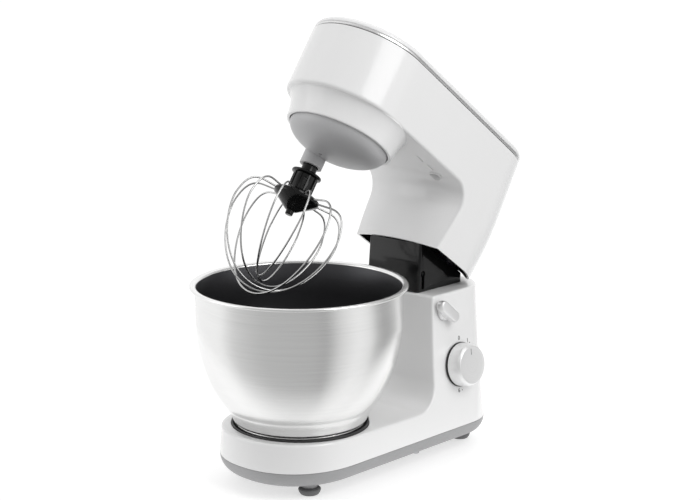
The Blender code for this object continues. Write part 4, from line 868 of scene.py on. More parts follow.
def make_neck():
    """The glossy black cover over the hinge, open where the head's skirt comes down, with a key slot."""
    front, length, half, corner = 139.3 * MM, 75.4 * MM, 36.5 * MM, 3 * MM

    def ring(z, inset):
        lean = 4.6 * MM * (z - COLUMN_TOP) / (52.4 * MM)
        w, f, back = half - inset, front + lean + inset, front + length - inset
        reach = max(corner - inset, 0.8 * MM)
        right = [(i / 10 * (w - reach), f + 1 * MM * (i / 10) ** 2) for i in range(10)]
        right += arc((w - reach, f + 1 * MM + reach), reach, -90, 0, 8)
        right += arc((w - 2 * corner, back - 2 * corner), 2 * corner, 0, 90, 10)
        return [(x, y, z) for x, y in right + [(-x, y) for x, y in reversed(right) if x > 0]]

    low, high = COLUMN_TOP + 0.3 * MM, COLUMN_TOP + 52.4 * MM
    neck = loft("neck_blank", [ring(z, 0) for z in (low, high)])
    hollow = loft("neck_inner", [ring(z, 2 * MM) for z in (low - 5 * MM, high + 5 * MM)])
    crest, rear = front + 7.6 * MM, front + length
    slope = [(crest, high), (rear, COLUMN_TOP + 8 * MM), (rear + 9 * MM, COLUMN_TOP + 8 * MM),
             (rear + 9 * MM, high + 9 * MM), (crest, high + 9 * MM)]
    slit = crosswise("key_slit", [*arc((front + 9 * MM, COLUMN_TOP + 19 * MM), 3.6 * MM, -50, 230, 18),
                                  (front + 6.7 * MM, COLUMN_TOP + 3 * MM),
                                  (front + 11.3 * MM, COLUMN_TOP + 3 * MM)],
                     half - 6 * MM, half + 9 * MM)
    neck = subtract(neck, hollow, crosswise("neck_slope", slope, -45 * MM, 45 * MM), slit)
    neck.name = "neck_cover_gloss"
    soften = neck.modifiers.new("soften", "BEVEL")
    soften.width, soften.segments, soften.limit_method, soften.angle_limit = 0.5 * MM, 2, "ANGLE", math.radians(40)
    return complete(settle(neck, BODY), "body", "black_gloss", ["neck_cover"])


# Bowl

def make_bowl():
    wall, heel, sheet = 104.5 * MM, 75 * MM, 1.2 * MM
    step, straight = BOWL_BOTTOM + 26.6 * MM, BOWL_RIM - 36 * MM
    low = 62.6 * MM
    sweep = bezier((wall, straight), (wall, straight - 27 * MM), (wall - 9.5 * MM, step + 24 * MM),
                   (heel, step + 1.5 * MM), 40)
    inside = bezier((wall - sheet, straight), (wall - sheet, straight - 27 * MM),
                    (wall - 9.5 * MM - sheet, step + 24.5 * MM), (heel - sheet, step + 3 * MM), 40)
    waist = bezier((heel, step + 1.5 * MM), (73.2 * MM, step - 3 * MM), (70.2 * MM, step - 6 * MM),
                   (68.7 * MM, low + 2.2 * MM), 10)[1:]
    waist += [(68.0 * MM, low + 0.8 * MM), (66.6 * MM, low), (64 * MM, low)]
    lip = [(wall, BOWL_RIM - 5 * MM), (wall + 0.5 * MM, BOWL_RIM - 3.1 * MM), (wall + 2 * MM, BOWL_RIM - 2.7 * MM)]
    lip += [(108.5 * MM + 1.5 * MM * math.cos(a), BOWL_RIM - 1.5 * MM + 1.5 * MM * math.sin(a)) for a in
            (math.radians(-70 + 170 * i / 10) for i in range(11))]
    lip += [(106.5 * MM, BOWL_RIM - 0.15 * MM), (wall + 0.4 * MM, BOWL_RIM - 0.5 * MM)]
    outer = [(0, BOWL_BOTTOM), (59 * MM, BOWL_BOTTOM), (62.6 * MM, BOWL_BOTTOM + 1.4 * MM), (64 * MM, 55 * MM)]
    outer += list(reversed(waist)) + list(reversed(sweep)) + lip
    within = [(wall - 0.4 * MM, BOWL_RIM - 1.2 * MM), (wall - sheet, BOWL_RIM - 2.6 * MM)] + inside
    within += rounded([(73.6 * MM, 77.2 * MM), (69.3 * MM, 72.4 * MM), (67.8 * MM, 69 * MM), (67.4 * MM, 65.6 * MM),
                       (66.4 * MM, 64.3 * MM), (62.8 * MM, 63.8 * MM), (62.8 * MM, 55 * MM),
                       (57.8 * MM, 51.2 * MM), (0, 51.2 * MM)], 1.5 * MM)
    bowl = lathe("mixing_bowl", outer + within, 160)
    bowl.data.transform(BODY)
    sharpen(bowl.data, 40)
    complete(bowl, "bowl", "steel", ["bowl"])
    # The inner faces and the floor of the bowl take the near-black steel, a painted dark reflection
    bowl.data.materials.append(FINISHES["bowl_inside"])
    centre = BODY.translation
    for polygon in bowl.data.polygons:
        middle = polygon.center - centre
        flat = Vector((middle.x, middle.y, 0))
        facing_in = polygon.normal.dot(flat.normalized()) if flat.length > MM else 0
        floor = polygon.normal.z > 0.5 and middle.z < 90 * MM and flat.length < 75 * MM
        polygon.material_index = 1 if (facing_in < -0.2 or floor) and middle.z < BOWL_RIM - 2 * MM else 0
    ring = rounded([(64.4 * MM, low - 0.4 * MM), (FOOT_RING, low - 0.4 * MM), (FOOT_RING, 47 * MM),
                    (64.4 * MM, 47 * MM)], 0.6 * MM)
    foot = lathe("bowl_foot", ring, SEGMENTS, closed=True)
    lug = ring_slice("lug", FOOT_RING - 0.6 * MM, FOOT_RING + 1.6 * MM, math.radians(24), 47.5 * MM, 51 * MM)
    lugs = repeated(lug, FINISHES["steel"], None, 3, 2 * math.pi / 3, -math.pi / 2)
    join([foot, lugs])
    foot.data.transform(BODY)
    sharpen(foot.data)
    complete(foot, "bowl", "steel", ["bowl_foot_ring"])


def ring_slice(name, inner, outer, span, low, high):
    half = math.degrees(span / 2)
    return bar(name, arc((0, 0), outer, -half, half, 10) + arc((0, 0), inner, half, -half, 10), low, high)


def join(objects):
    """The first object takes the others' meshes."""
    bm = bmesh.new()
    for obj in objects:
        bm.from_mesh(obj.data)
    bm.to_mesh(objects[0].data)
    bm.free()
    for obj in objects[1:]:
        bpy.data.objects.remove(obj)
    return objects[0]


def make_seat():
    """The dark cup in the base that the bowl's foot locks into, and its lips."""
    outer, top = SEAT_RADIUS, 61 * MM
    profile = rounded([(0, 46.6 * MM), (outer - 1.6 * MM, 46.6 * MM), (outer - 1.6 * MM, top), (outer, top),
                       (outer, 45 * MM), (0, 45 * MM)], 0.5 * MM)
    seat = lathe("bowl_seat_cup", profile)
    lip = ring_slice("lip", FOOT_RING + 0.4 * MM, outer - 0.9 * MM, math.radians(36), 52.5 * MM, 55.5 * MM)
    lips = repeated(lip, FINISHES["black_plastic"], None, 3, 2 * math.pi / 3, -math.pi / 2)
    join([seat, lips])
    seat.data.transform(BODY)
    sharpen(seat.data)
    complete(seat, "body", "black_plastic", ["bowl_seat"])


# Head

def head_half(height):
    share = min(max((height - SKIRT_BOTTOM) / (UNDERSIDE - SKIRT_BOTTOM), 0), 1)
    return SKIRT_HALF_WIDTH + (HEAD_HALF_WIDTH - SKIRT_HALF_WIDTH) * math.sin(share * math.pi / 2)


def head_rear(height):
    return HEAD_REAR - 8.5 * MM * min(max((height - SKIRT_BOTTOM) / (HEAD_SEAM - SKIRT_BOTTOM), 0), 1)


def head_nose(turn, height):
    half = head_half(height)
    reach = 71.1 * MM - (HEAD_HALF_WIDTH - half) - 5.8 * MM
    return Vector((half * math.sin(turn), -5.8 * MM - reach * math.cos(turn), height))


def head_corner(turn, height):
    corner = 45 * MM
    return Vector((head_half(height) - corner + corner * math.cos(turn),
                   head_rear(height) - corner + corner * math.sin(turn), height))


def skirt_floor(point_at):
    """The height at which a side line meets the skirt's lower edge, which is round at the rear."""
    r, height = 18 * MM, SKIRT_BOTTOM
    for _ in range(12):
        over = point_at(height).y - (HEAD_REAR - r)
        height = SKIRT_BOTTOM + (r - math.sqrt(max(r * r - over * over, 0)) if over > 0 else 0)
    return height


def underside_line():
    """From the nose's widest point back: flat, then the arch, then down the skirt's front."""
    start, top = -5.8 * MM, SKIRT_FRONT - ARCH_LENGTH
    line = [(start + (top - start) * i / 12, UNDERSIDE, 0, -1) for i in range(1, 12)]
    for i in range(17):
        turn = math.pi / 2 * i / 16
        out = Vector((-math.sin(turn) / ARCH_LENGTH, -math.cos(turn) / ARCH_HEIGHT)).normalized()
        line.append((top + ARCH_LENGTH * math.sin(turn), UNDERSIDE - ARCH_HEIGHT * (1 - math.cos(turn)),
                     out.x, out.y))
    low = UNDERSIDE - ARCH_HEIGHT
    line += [(SKIRT_FRONT, low + (SKIRT_BOTTOM - low) * i / 10, -1, 0) for i in range(1, 11)]
    return line


FAN = 30 * MM


def slanted(y, fan, share, low, high):
    height = low + (high - low) * share
    return Vector((head_half(height), y + fan * share, height))


def make_head_shell(sizes):
    radius, levels = sizes.head_edge, 20
    top = HEAD_SEAM - 0.5 * MM
    shares = [(i / levels) ** 1.35 for i in range(levels + 1)]
    ribs = []
    for i in range(33):
        turn = math.pi / 2 * i / 32
        side = Vector((math.sin(turn), -math.cos(turn), 0))
        edge = head_nose(turn, UNDERSIDE + radius) - radius * side
        wall = [head_nose(turn, edge.z + (top - edge.z) * s) for s in reversed(shares)]
        ribs.append(rib(edge, side, Vector((0, 0, -1)), radius, wall,
                        lambda x, y=edge.y: Vector((x, y, UNDERSIDE))))
    for y, z, out_y, out_z in underside_line():
        fade = min(max(y / (SKIRT_FRONT - ARCH_LENGTH), 0), 1)
        corner_z = z - radius * out_z
        reach = head_half(corner_z) - radius
        bow = SKIRT_BOW * (reach / SKIRT_HALF_WIDTH) ** 2 * fade
        edge = Vector((reach, y + bow - radius * out_y, corner_z))
        down = max(UNDERSIDE - ARCH_HEIGHT - z, 0) / (UNDERSIDE - ARCH_HEIGHT - SKIRT_BOTTOM)
        fan = FAN * math.sqrt(down)
        wall = [slanted(edge.y, fan, s, corner_z, top) for s in reversed(shares)]
        ribs.append(rib(edge, Vector((1, 0, 0)), Vector((0, out_y, out_z)), radius, wall,
                        lambda x, y=y, z=z, fade=fade: Vector((
                            x, y + SKIRT_BOW * (x / SKIRT_HALF_WIDTH) ** 2 * fade, z))))
    front = ribs[-1][:levels + 1]
    back = [head_corner(0, SKIRT_BOTTOM + (top - SKIRT_BOTTOM) * s) for s in reversed(shares)]
    sides = []
    for i in range(1, 6):
        line = [a.lerp(b, i / 6) for a, b in zip(front, back)]
        sides.append([Vector((head_half(p.z), p.y, p.z)) for p in line])
    for i in range(19):
        def point_at(h, t=math.pi / 2 * i / 18):
            return head_corner(t, h)
        floor = skirt_floor(point_at)
        sides.append([point_at(floor + (top - floor) * s) for s in reversed(shares)])
    head = shell("head_skin", ribs, sides, levels + 1)
    head.data.materials.append(FINISHES["head_gloss"])
    head.data.materials.append(FINISHES["black_plastic"])
    thick = head.modifiers.new("wall", "SOLIDIFY")
    thick.thickness, thick.offset, thick.material_offset = sizes.wall, -1, 1
    head = settle(head)
    slots = [box_between(f"slot_{i}", (x - 0.75 * MM, y, 250 * MM), (x + 0.75 * MM, y + 13 * MM, 262 * MM))
             for i, (x, y) in enumerate(((40 * MM, 73.6 * MM), (41.2 * MM, 92.4 * MM)))]
    head = subtract(head, disc("drive_hole", (0, 0), 54.6 * MM, 235 * MM, 270 * MM, SEGMENTS),
                    disc("recess_hole", RECESS, 6.4 * MM, 247 * MM, 268 * MM, 48), *slots)
    head.name = "head_housing"
    head.data.transform(HEAD)
    sharpen(head.data, 28)
    complete(head, "head", None, ["head_shell"])
    # Painted shade: a black plate inside the shell behind the two slots, standing in for the shade inside them
    back = box_between("slot_backing", (37 * MM, 71 * MM, UNDERSIDE + sizes.wall + 0.1 * MM),
                       (44 * MM, 106 * MM, UNDERSIDE + sizes.wall + 1.3 * MM))
    complete(settle(back, HEAD), "head", "black_plastic")
    inner, rim = 53.7 * MM, 57.1 * MM
    drop = UNDERSIDE - CARRIER_RIM
    flare = bezier((rim + 8 * MM, UNDERSIDE + 0.2 * MM), (rim + 4 * MM, UNDERSIDE - 2.6 * MM),
                   (rim + 1 * MM, CARRIER_RIM + drop * 0.4), (rim, CARRIER_RIM + 0.4 * MM), 24)
    profile = [(inner, UNDERSIDE + 1.6 * MM), (rim + 8 * MM, UNDERSIDE + 1.6 * MM), *flare]
    profile += [(rim - 0.5 * MM, CARRIER_RIM - 0.7 * MM), (rim - 1.4 * MM, CARRIER_RIM - 1 * MM),
                (inner + 0.6 * MM, CARRIER_RIM - 1 * MM), (inner, CARRIER_RIM - 0.4 * MM)]
    collar = lathe("drive_collar", profile, 160, closed=True)
    collar.data.transform(HEAD)
    sharpen(collar.data, 40)
    complete(collar, "head", "head_gloss")
    cup = lathe("screw_recess", rounded([(6.5 * MM, 256.6 * MM), (6.2 * MM, 257.4 * MM), (5.8 * MM, 262 * MM),
                                         (5.2 * MM, 265 * MM), (0, 266 * MM)], 1 * MM), 48, centre=RECESS)
    wall = cup.modifiers.new("wall", "SOLIDIFY")
    wall.thickness, wall.offset = 0.6 * MM, 1
    complete(settle(cup, HEAD), "head", "head_gloss")


RECESS = (36.6 * MM, 116.5 * MM)


def top_plan(inset, z, lift=0.0):
    return [(x, y, z) for x, y in plan_ring(
        HEAD_HALF_WIDTH - inset, 71.1 * MM - inset, 228.5 * MM - inset, 45 * MM - inset, 2, -5.8 * MM)]


def make_head_top():
    """A black strip painted in as the joint's shadow, the metal band above it and the crowned lid."""
    # Painted shadow: a black strip in the joint under the band, standing in for the shadow in the gap
    gap_shade = loft("seam_line", [top_plan(1.1 * MM, HEAD_SEAM + h * MM) for h in (-1.6, 0.5)])
    complete(settle(gap_shade, HEAD), "head", "black_plastic")
    low = HEAD_SEAM + 0.4 * MM
    steps = [(1.2, 0), (0.5, 0.05), (0.2, 0.3), (0.2, 1.9), (0.35, 2.4), (1.2, 2.6)]
    band = loft("trim_band_metal", [top_plan(inset * MM, low + h * MM) for inset, h in steps])
    complete(settle(band, HEAD, 50), "head", "band_metal", ["trim_band"])
    low += 2.9 * MM
    rings = [(1.4 * MM, low), (0.7 * MM, low + 0.1 * MM), (0.35 * MM, low + 0.5 * MM), (0.3 * MM, low + 1.2 * MM)]
    rings += [(inset, low + rise) for inset, rise in
              bezier((0.5 * MM, 2.2 * MM), (1.0 * MM, 4.4 * MM), (3.0 * MM, 6.2 * MM), (8 * MM, 7.1 * MM), 12)]
    rings += [(inset, low + rise) for inset, rise in
              bezier((8 * MM, 7.1 * MM), (16 * MM, 8.4 * MM), (28 * MM, 9.3 * MM), (43 * MM, 9.4 * MM), 12)[1:]]
    lid = loft("crowned_lid", [top_plan(inset, z) for inset, z in rings])
    complete(settle(lid, HEAD, 50), "head", "head_gloss", ["top_lid"])


# Drive and whisk

def make_drive():
    """The silver drive plate with its sleeve and two screws."""
    rim, r = CARRIER_RIM, CARRIER_RADIUS
    dome = [(r * math.sin(a), rim - DOME_DEPTH * math.cos(a))
            for a in (math.pi / 2 * i / 24 for i in range(24, -1, -1))]
    profile = [(0, CARRIER_TOP - 2 * MM), (r - 0.8 * MM, CARRIER_TOP - 2 * MM), (r, CARRIER_TOP - 2.8 * MM), *dome]
    plate = lathe("drive_plate", profile, 160)
    plate = subtract(plate, disc("sleeve_hole", PLANET, SLEEVE_RADIUS + 0.3 * MM, 200 * MM, 236 * MM, 64),
                     *[disc(f"screw_hole_{i}", spot, 2.6 * MM, 205 * MM, dome_height(spot) + 3.2 * MM, 32)
                       for i, spot in enumerate(SCREWS)])
    plate.name = "drive_plate"
    plate.data.transform(HEAD)
    sharpen(plate.data, 30)
    complete(plate, "carrier", "drive_silver", ["planet_carrier"])
    for i, spot in enumerate(SCREWS, 1):
        low = dome_height(spot) + 1.6 * MM
        head = rounded([(0, low + 0.9 * MM), (0.9 * MM, low + 0.9 * MM), (0.9 * MM, low + 0.1 * MM), (2.1 * MM, low),
                        (2.2 * MM, low + 1.5 * MM), (0, low + 1.5 * MM)], 0.2 * MM, 2)
        complete(settle(lathe(f"drive_screw_{i}", head, 32, centre=spot), HEAD), "carrier", "zinc_steel")
    inner, out, end = 8.6 * MM, SLEEVE_RADIUS, SLEEVE_END
    profile = rounded([(inner, end), (inner, rim - 8 * MM), (4.2 * MM, rim - 6 * MM), (4.2 * MM, 242.8 * MM),
                       (out, 242.8 * MM), (out, end + 0.1 * MM), (out - 0.6 * MM, end)], 0.5 * MM)
    sleeve = lathe("spindle_sleeve_silver", profile, 96, closed=True, centre=PLANET)
    complete(settle(sleeve, HEAD), "carrier", "drive_silver", ["spindle_sleeve"])


def dome_height(spot):
    return CARRIER_RIM - DOME_DEPTH * math.sqrt(1 - (math.hypot(*spot) / CARRIER_RADIUS) ** 2)


SCREWS = ((-9.4 * MM, -4.6 * MM), (-9.4 * MM, 24.8 * MM))


def make_hub():
    """The whisk's black hub: a flange, a ribbed collar with its catch, and a cone with a tip."""
    def at(r, d):
        return r * MM, SLEEVE_END - d * MM

    profile = [at(4.2, -3.4), at(8, -3.4), at(8, 8.5), at(14.6, 8.3), at(15.7, 8.8), at(16, 9.8), at(15.7, 10.8),
               at(14.8, 11.3), at(12.2, 12.1), at(12, 13), at(12, 28), at(12.6, 29.2), at(18.5, 31.2), at(22.6, 32.6),
               at(24, 33.6), at(24.3, 35), at(24.2, 36.8), at(23.4, 38.2), at(14, 45), at(6.4, 50.6),
               at(5.2, 51), at(4.2, 51.2), at(4, 55.2), at(3.4, 56), at(0, 56), at(0, 30), at(4.2, 30)]
    hub = lathe("whisk_hub_gloss", profile, 96, closed=True)
    catch = bar("catch", [(-2.4 * MM, -30 * MM), (2.4 * MM, -30 * MM),
                          (2.4 * MM, -10.6 * MM), (-2.4 * MM, -10.6 * MM)],
                SLEEVE_END - 28 * MM, SLEEVE_END - 15 * MM)
    catch.data.transform(Matrix.Rotation(math.radians(52), 4, "Z"))
    hub = subtract(hub, catch)
    hub.name = "whisk_hub_gloss"
    complete(settle(hub, WHISK), "whisk", "hub_gloss", ["whisk_hub"])
    blade = box_between("hub_rib", (11.6 * MM, -0.7 * MM, SLEEVE_END - 29 * MM),
                        (13.2 * MM, 0.7 * MM, SLEEVE_END - 12 * MM))
    ribs = repeated(blade, FINISHES["hub_gloss"], WHISK, 9, 2 * math.pi / 9, math.radians(12))
    ribs.name = "hub_ribs"
    complete(ribs, "whisk", "hub_gloss")


def make_wires(sizes):
    """Six nested loops: out from the hub's rim, round a shoulder and down to a round bottom."""
    bm = bmesh.new()
    for i in range(sizes.loops):
        turn = math.radians(178) + math.pi * i / sizes.loops
        bottom = (144.5 - 4 * i) * MM
        start = [(20 * MM, 35.4 * MM), (24.4 * MM, 35.3 * MM)]
        bend = bezier((37 * MM, 34.8 * MM), (50 * MM, 34 * MM), (55.2 * MM, 42.5 * MM), (58 * MM, 56 * MM), 14)
        belly = bezier(bend[-1], (64.2 * MM, bottom - 58 * MM), (43.2 * MM, bottom), (0, bottom), 28)
        half = [*start, *bend, *belly[1:]]
        path = half + [(-r, d) for r, d in reversed(half[:-1])]
        verts = [bm.verts.new((r * math.cos(turn), r * math.sin(turn), SLEEVE_END - d)) for r, d in path]
        for a, b in zip(verts, verts[1:]):
            bm.edges.new((a, b))
    mesh = bpy.data.meshes.new("whisk_lines")
    bm.to_mesh(mesh)
    bm.free()
    lines = bpy.data.objects.new("whisk_loops", mesh)
    bpy.context.scene.collection.objects.link(lines)
    wires = wires_along(lines, FINISHES["wire_steel"], WHISK, sizes.wire)
    complete(wires, "whisk", "wire_steel", [f"whisk_wire_{i}" for i in range(1, 7)])


# Knob, dial and lever

def make_knob():
    skirt = [(0, 17.6 * MM), (17.6 * MM, 17.75 * MM), (19.2 * MM, 18 * MM), (20.0 * MM, 17.9 * MM),
             (21.9 * MM, 15.6 * MM), (22.2 * MM, 14.6 * MM), (23 * MM, 3.2 * MM), (22.8 * MM, 2.6 * MM),
             (21 * MM, 2.6 * MM), (19.5 * MM, 13 * MM), (6 * MM, 13 * MM), (6 * MM, 4 * MM), (3.4 * MM, 4 * MM),
             (3.4 * MM, 12 * MM), (0, 12 * MM)]
    knob = lathe("speed_knob_metal", rounded(skirt, 0.5 * MM, 3), 160)
    complete(settle(knob, KNOB, 38), "knob", "satin_aluminium", ["speed_knob"])
    line = arc((-11.6 * MM, 0), 0.5 * MM, -90, 90, 8) + arc((-17.2 * MM, 0), 0.5 * MM, 90, 270, 8)
    pointer = bar("knob_pointer", line, 17.62 * MM, 17.86 * MM)
    complete(settle(pointer, KNOB), "knob", "silver_plastic")
    ring = rounded([(19 * MM, 2 * MM), (23.6 * MM, 2 * MM), (23.8 * MM, 0.8 * MM), (19 * MM, 0.8 * MM)], 0.3 * MM)
    gap = lathe("knob_shadow_ring", ring, 128, closed=True)
    complete(settle(gap, KNOB), "body", "black_plastic", ["knob_ring"])


def laid_on_body(obj, surface):
    """Lay a flat mark on the body's curved side, along the knob's axis."""
    tree = BVHTree.FromPolygons([v.co.copy() for v in surface.data.vertices],
                                [tuple(p.vertices) for p in surface.data.polygons])
    out = (KNOB.to_3x3() @ Vector((0, 0, 1))).normalized()
    for vertex in obj.data.vertices:
        flat = KNOB @ Vector((vertex.co.x, vertex.co.y, 20 * MM))
        hit = tree.ray_cast(flat, -out)[0]
        vertex.co = (hit or KNOB @ Vector((vertex.co.x, vertex.co.y, 0))) + out * (vertex.co.z + 0.03 * MM)
    obj.data.update()


def make_dial(sizes, surface):
    """Numerals 0, 1 and 6 with dots and short lines between, printed on the side round the knob."""
    radius = 27.9 * MM
    pieces = []
    turn_text = Matrix(((0, -1, 0, 0), (1, 0, 0, 0), (0, 0, 1, 0), (0, 0, 0, 1)))
    for text, angle in (("0", 5.6), ("1", 36), ("6", 190.6)):
        curve = bpy.data.curves.new("numeral_" + text, "FONT")
        curve.body, curve.size, curve.extrude, curve.offset = text, sizes.numeral * 1.35, 0.03 * MM, 0.1 * MM
        curve.align_x, curve.align_y = "CENTER", "CENTER"
        obj = bpy.data.objects.new("numeral_" + text, curve)
        bpy.context.scene.collection.objects.link(obj)
        obj = settle(obj)
        a = math.radians(angle)
        obj.data.transform(Matrix.Translation((-radius * math.cos(a), radius * math.sin(a), 0)) @ turn_text)
        pieces.append(obj)
    dot = bar("dot", arc((-radius, 0), 0.62 * MM, 0, 345, 15), 0, 0.06 * MM)
    last = bar("last_dot", arc((radius, 0), 0.62 * MM, 0, 345, 15), 0, 0.06 * MM)
    pieces.append(last)
    pieces.append(repeated(dot, FINISHES["ink"], None, 8, math.radians(-10.4), math.radians(-45)))
    for angle in (64, 93, 122, 151):
        dash = bar(f"dash_{angle}", [(-radius - 1.4 * MM, -0.35 * MM), (-radius + 1.4 * MM, -0.35 * MM),
                                     (-radius + 1.4 * MM, 0.35 * MM), (-radius - 1.4 * MM, 0.35 * MM)], 0, 0.06 * MM)
        dash.data.transform(Matrix.Rotation(math.radians(-angle), 4, "Z"))
        pieces.append(dash)
    marks = join(pieces)
    marks.name = "dial_marks"
    laid_on_body(marks, surface)
    complete(marks, "body", "ink")


def make_lever():
    half, reach, turn = 6 * MM, 10.5 * MM, math.radians(49)
    outline = arc((-reach, 0), half, 90, 270, 24) + arc((reach, 0), half, -90, 90, 24)
    insets = [(0.6, 3.0), (0.1, 3.5), (0, 4.2), (0.1, 9.6), (0.5, 10.6), (1.2, 11.1), (2.2, 11.2)]
    rings = []
    for inset, z in insets:
        scale = (half - inset * MM) / half
        ring = []
        for x, y in outline:
            centre = math.copysign(reach, x)
            px, py = centre + (x - centre) * scale, y * scale
            ring.append((px * math.cos(turn) - py * math.sin(turn), px * math.sin(turn) + py * math.cos(turn),
                         z * MM))
        rings.append(ring)
    paddle = loft("release_paddle", rings)
    boss = lathe("boss", rounded([(0, 4 * MM), (8.9 * MM, 4 * MM), (9.5 * MM, 3.2 * MM), (9.5 * MM, 0.8 * MM),
                                  (0, 0.8 * MM)], 0.4 * MM), 96)
    join([paddle, boss])
    complete(settle(paddle, LEVER, 35), "lever", "lever_aluminium", ["release_lever"])


def make_inlet():
    """The round gland at the back that the mains lead would enter."""
    profile = rounded([(3.2 * MM, 5 * MM), (6.2 * MM, 5 * MM), (7 * MM, 4 * MM), (7 * MM, 0.4 * MM),
                       (4.6 * MM, 0.4 * MM), (4.6 * MM, -7.6 * MM), (3.2 * MM, -7.6 * MM)], 0.5 * MM)
    gland = lathe("inlet_gland", profile, 64, closed=True)
    matrix = (BODY @ Matrix.Translation((0, COLUMN_REAR - 2 * MM, SEAM + 14 * MM))
              @ Matrix.Rotation(-math.pi / 2, 4, "X"))
    complete(settle(gland, matrix), "body", "black_plastic", ["cord_gland"])


# Studio

def aim(obj, place, target):
    facing = (Vector(place) - Vector(target)).to_track_quat("Z", "Y")
    obj.matrix_world = Matrix.Translation(place) @ facing.to_matrix().to_4x4()


def area_light(name, place, target, size, power):
    light = bpy.data.lights.new(name, "AREA")
    light.shape, light.size, light.size_y, light.energy = "RECTANGLE", size[0], size[1], power
    obj = bpy.data.objects.new(name, light)
    bpy.context.scene.collection.objects.link(obj)
    aim(obj, place, target)


def make_studio():
    bm = bmesh.new()
    bmesh.ops.create_grid(bm, x_segments=8, y_segments=8, size=12)
    floor = new_object("studio_floor", bm, False)
    floor.data.materials.append(floor_paint())
    centre = BODY.translation
    back = VIEW_FROM * math.cos(RISE) + Vector((0, 0, math.sin(RISE)))
    right = Vector((math.cos(AZIMUTH), math.sin(AZIMUTH), 0))
    data = bpy.data.cameras.new("studio_camera")
    data.sensor_width, data.lens = 36, 87.96
    camera = bpy.data.objects.new("studio_camera", data)
    bpy.context.scene.collection.objects.link(camera)
    turn = Matrix((right, back.cross(right), back)).transposed().to_4x4()
    camera.matrix_world = Matrix.Translation(centre + Vector((1.17140, -1.18969, 0.59751))) @ turn
    bpy.context.scene.camera = camera
    target = centre + Vector((0, 0.06, 0.2))
    area_light("key_box", target + Vector((1.5, 0.1, 1.1)), target, (1.1, 1.3), KEY)
    area_light("top_box", target + Vector((0.1, 0.0, 1.9)), target, (1.6, 1.6), TOP)
    area_light("front_strip", target + Vector((-1.1, -1.5, 0.5)), target, (1.3, 1.5), STRIP)
    world = bpy.data.worlds.new("studio")
    bpy.context.scene.world = world
    world.use_nodes = True
    sky = Finish(world.node_tree)
    background = world.node_tree.nodes["Background"]
    direction = sky.node("ShaderNodeTexCoord", output="Generated")
    parts = sky.node("ShaderNodeSeparateXYZ", None, {0: direction})
    x, y = (Value(sky, parts.socket.node.outputs[i]) for i in (0, 1))
    around = x.maths("ARCTAN2", x, -y) / (2 * math.pi) - AZIMUTH / (2 * math.pi)
    wrapped = around.maths("FRACT", around + 0.5)
    glow = sky.ramp(wrapped, *[((degrees + 180) / 360, level) for degrees, level in GLOW])
    world.node_tree.links.new(glow.socket, background.inputs["Color"])
    background.inputs["Strength"].default_value = 1.0
    bpy.context.scene.view_settings.view_transform = "Standard"
    bpy.context.scene.view_settings.look = "None"


KEY, TOP, STRIP = 14, 2.5, 5.5
# Brightness of the room by the angle to the right of the camera
GLOW = [(-180, 1.06), (-150, 1.0), (-97, 0.98), (-76, 0.66), (-40, 0.52), (20, 0.48), (32, 0.38), (48, 0.74),
        (70, 0.96), (88, 0.86), (98, 0.48), (112, 0.38), (128, 0.5), (152, 1.0), (180, 1.06)]


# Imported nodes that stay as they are

KEPT = {
    "head_liner": "black_plastic", "hinge_bracket": "zinc_steel", "hinge_pin": "zinc_steel",
    "hinge_bush_left": "bronze", "hinge_bush_right": "bronze", "head_chassis": "zinc_steel",
    "latch_cam": "zinc_steel", "latch_hook": "zinc_steel", "lever_shaft": "zinc_steel", "knob_shaft": "zinc_steel",
    "speed_switch": "black_plastic", "control_board": "board_green", "ring_gear": "white_nylon",
    "planet_gear": "white_nylon", "gear_housing": "cast_metal", "bearing_lower": "wire_steel",
    "bearing_upper": "wire_steel", "main_shaft": "zinc_steel", "driven_pulley": "black_plastic",
    "drive_belt": "rubber", "motor_bracket": "zinc_steel", "motor_stator": "cast_metal", "motor_rotor": "copper",
    "cooling_fan": "white_nylon", "drive_pulley": "zinc_steel", "whisk_spindle": "zinc_steel",
    "drive_pin": "zinc_steel", "pan_screw_1": "zinc_steel", "pan_screw_2": "zinc_steel",
    "pan_screw_3": "zinc_steel", "pan_screw_4": "zinc_steel",
}


def finish_kept_nodes():
    for name, finish in KEPT.items():
        node = frame["nodes"].get(name)
        if node:
            node.data.materials.clear()
            node.data.materials.append(FINISHES[finish])


# Operators

class MIXER_OT_finishes(bpy.types.Operator):
    """Make every finish and give the inner parts theirs"""
    bl_idname = "mixer.finishes"
    bl_label = "Finishes and inner parts"

    def execute(self, context):
        FINISHES.update(make_finishes())
        finish_kept_nodes()
        return {"FINISHED"}


class MIXER_OT_body(bpy.types.Operator):
    """Make the base and column, the silver pan, the feet, the neck cover and the inlet"""
    bl_idname = "mixer.body"
    bl_label = "Body"

    def execute(self, context):
        sizes = context.scene.mixer_sizes
        surface = make_body_shell(sizes)
        surface.name = "body_housing"
        make_pan()
        make_feet()
        make_neck()
        make_inlet()
        make_dial(sizes, surface)
        return {"FINISHED"}


class MIXER_OT_bowl(bpy.types.Operator):
    """Make the steel bowl, its foot and the seat that it locks into"""
    bl_idname = "mixer.bowl"
    bl_label = "Bowl and seat"

    def execute(self, context):
        make_bowl()
        make_seat()
        return {"FINISHED"}


class MIXER_OT_head(bpy.types.Operator):
    """Make the head's housing, its collar, the metal band and the lid"""
    bl_idname = "mixer.head"
    bl_label = "Head"

    def execute(self, context):
        make_head_shell(context.scene.mixer_sizes)
        make_head_top()
        return {"FINISHED"}


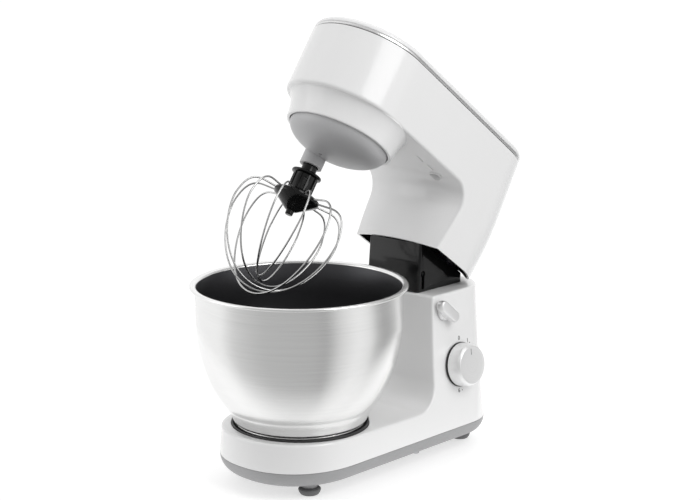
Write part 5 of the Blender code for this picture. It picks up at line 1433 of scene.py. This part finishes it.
class MIXER_OT_whisk(bpy.types.Operator):
    """Make the drive plate, its sleeve, the whisk's hub and its wires"""
    bl_idname = "mixer.whisk"
    bl_label = "Drive and whisk"

    def execute(self, context):
        make_drive()
        make_hub()
        make_wires(context.scene.mixer_sizes)
        return {"FINISHED"}


class MIXER_OT_controls(bpy.types.Operator):
    """Make the speed knob with its pointer and the head's release lever"""
    bl_idname = "mixer.controls"
    bl_label = "Knob and lever"

    def execute(self, context):
        make_knob()
        make_lever()
        return {"FINISHED"}


class MIXER_OT_studio(bpy.types.Operator):
    """Make the floor, the camera, the lights and the room's glow"""
    bl_idname = "mixer.studio"
    bl_label = "Studio"

    def execute(self, context):
        make_studio()
        return {"FINISHED"}


OPERATORS = (MIXER_OT_finishes, MIXER_OT_studio, MIXER_OT_body, MIXER_OT_bowl, MIXER_OT_head, MIXER_OT_whisk,
             MIXER_OT_controls)


class MIXER_PT_panel(bpy.types.Panel):
    """Sizes, colours and makers of the mixer's pieces"""
    bl_idname = "MIXER_PT_panel"
    bl_label = "Stand mixer"
    bl_space_type = "VIEW_3D"
    bl_region_type = "UI"
    bl_category = "Mixer"

    def draw(self, context):
        for group, names in ((context.scene.mixer_sizes, MixerSizes.__annotations__),
                             (context.scene.mixer_finishes, MixerFinishes.__annotations__)):
            for name in names:
                self.layout.prop(group, name)
        for operator in OPERATORS:
            self.layout.operator(operator.bl_idname)


CLASSES = (MixerSizes, MixerFinishes, *OPERATORS, MIXER_PT_panel)


def register():
    for cls in CLASSES:
        bpy.utils.register_class(cls)
    bpy.types.Scene.mixer_sizes = PointerProperty(type=MixerSizes)
    bpy.types.Scene.mixer_finishes = PointerProperty(type=MixerFinishes)


def unregister():
    del bpy.types.Scene.mixer_finishes
    del bpy.types.Scene.mixer_sizes
    for cls in reversed(CLASSES):
        bpy.utils.unregister_class(cls)


def main():
    register()
    for operator in OPERATORS:
        module, name = operator.bl_idname.split(".")
        getattr(getattr(bpy.ops, module), name)()


if __name__ == "__main__":
    main()
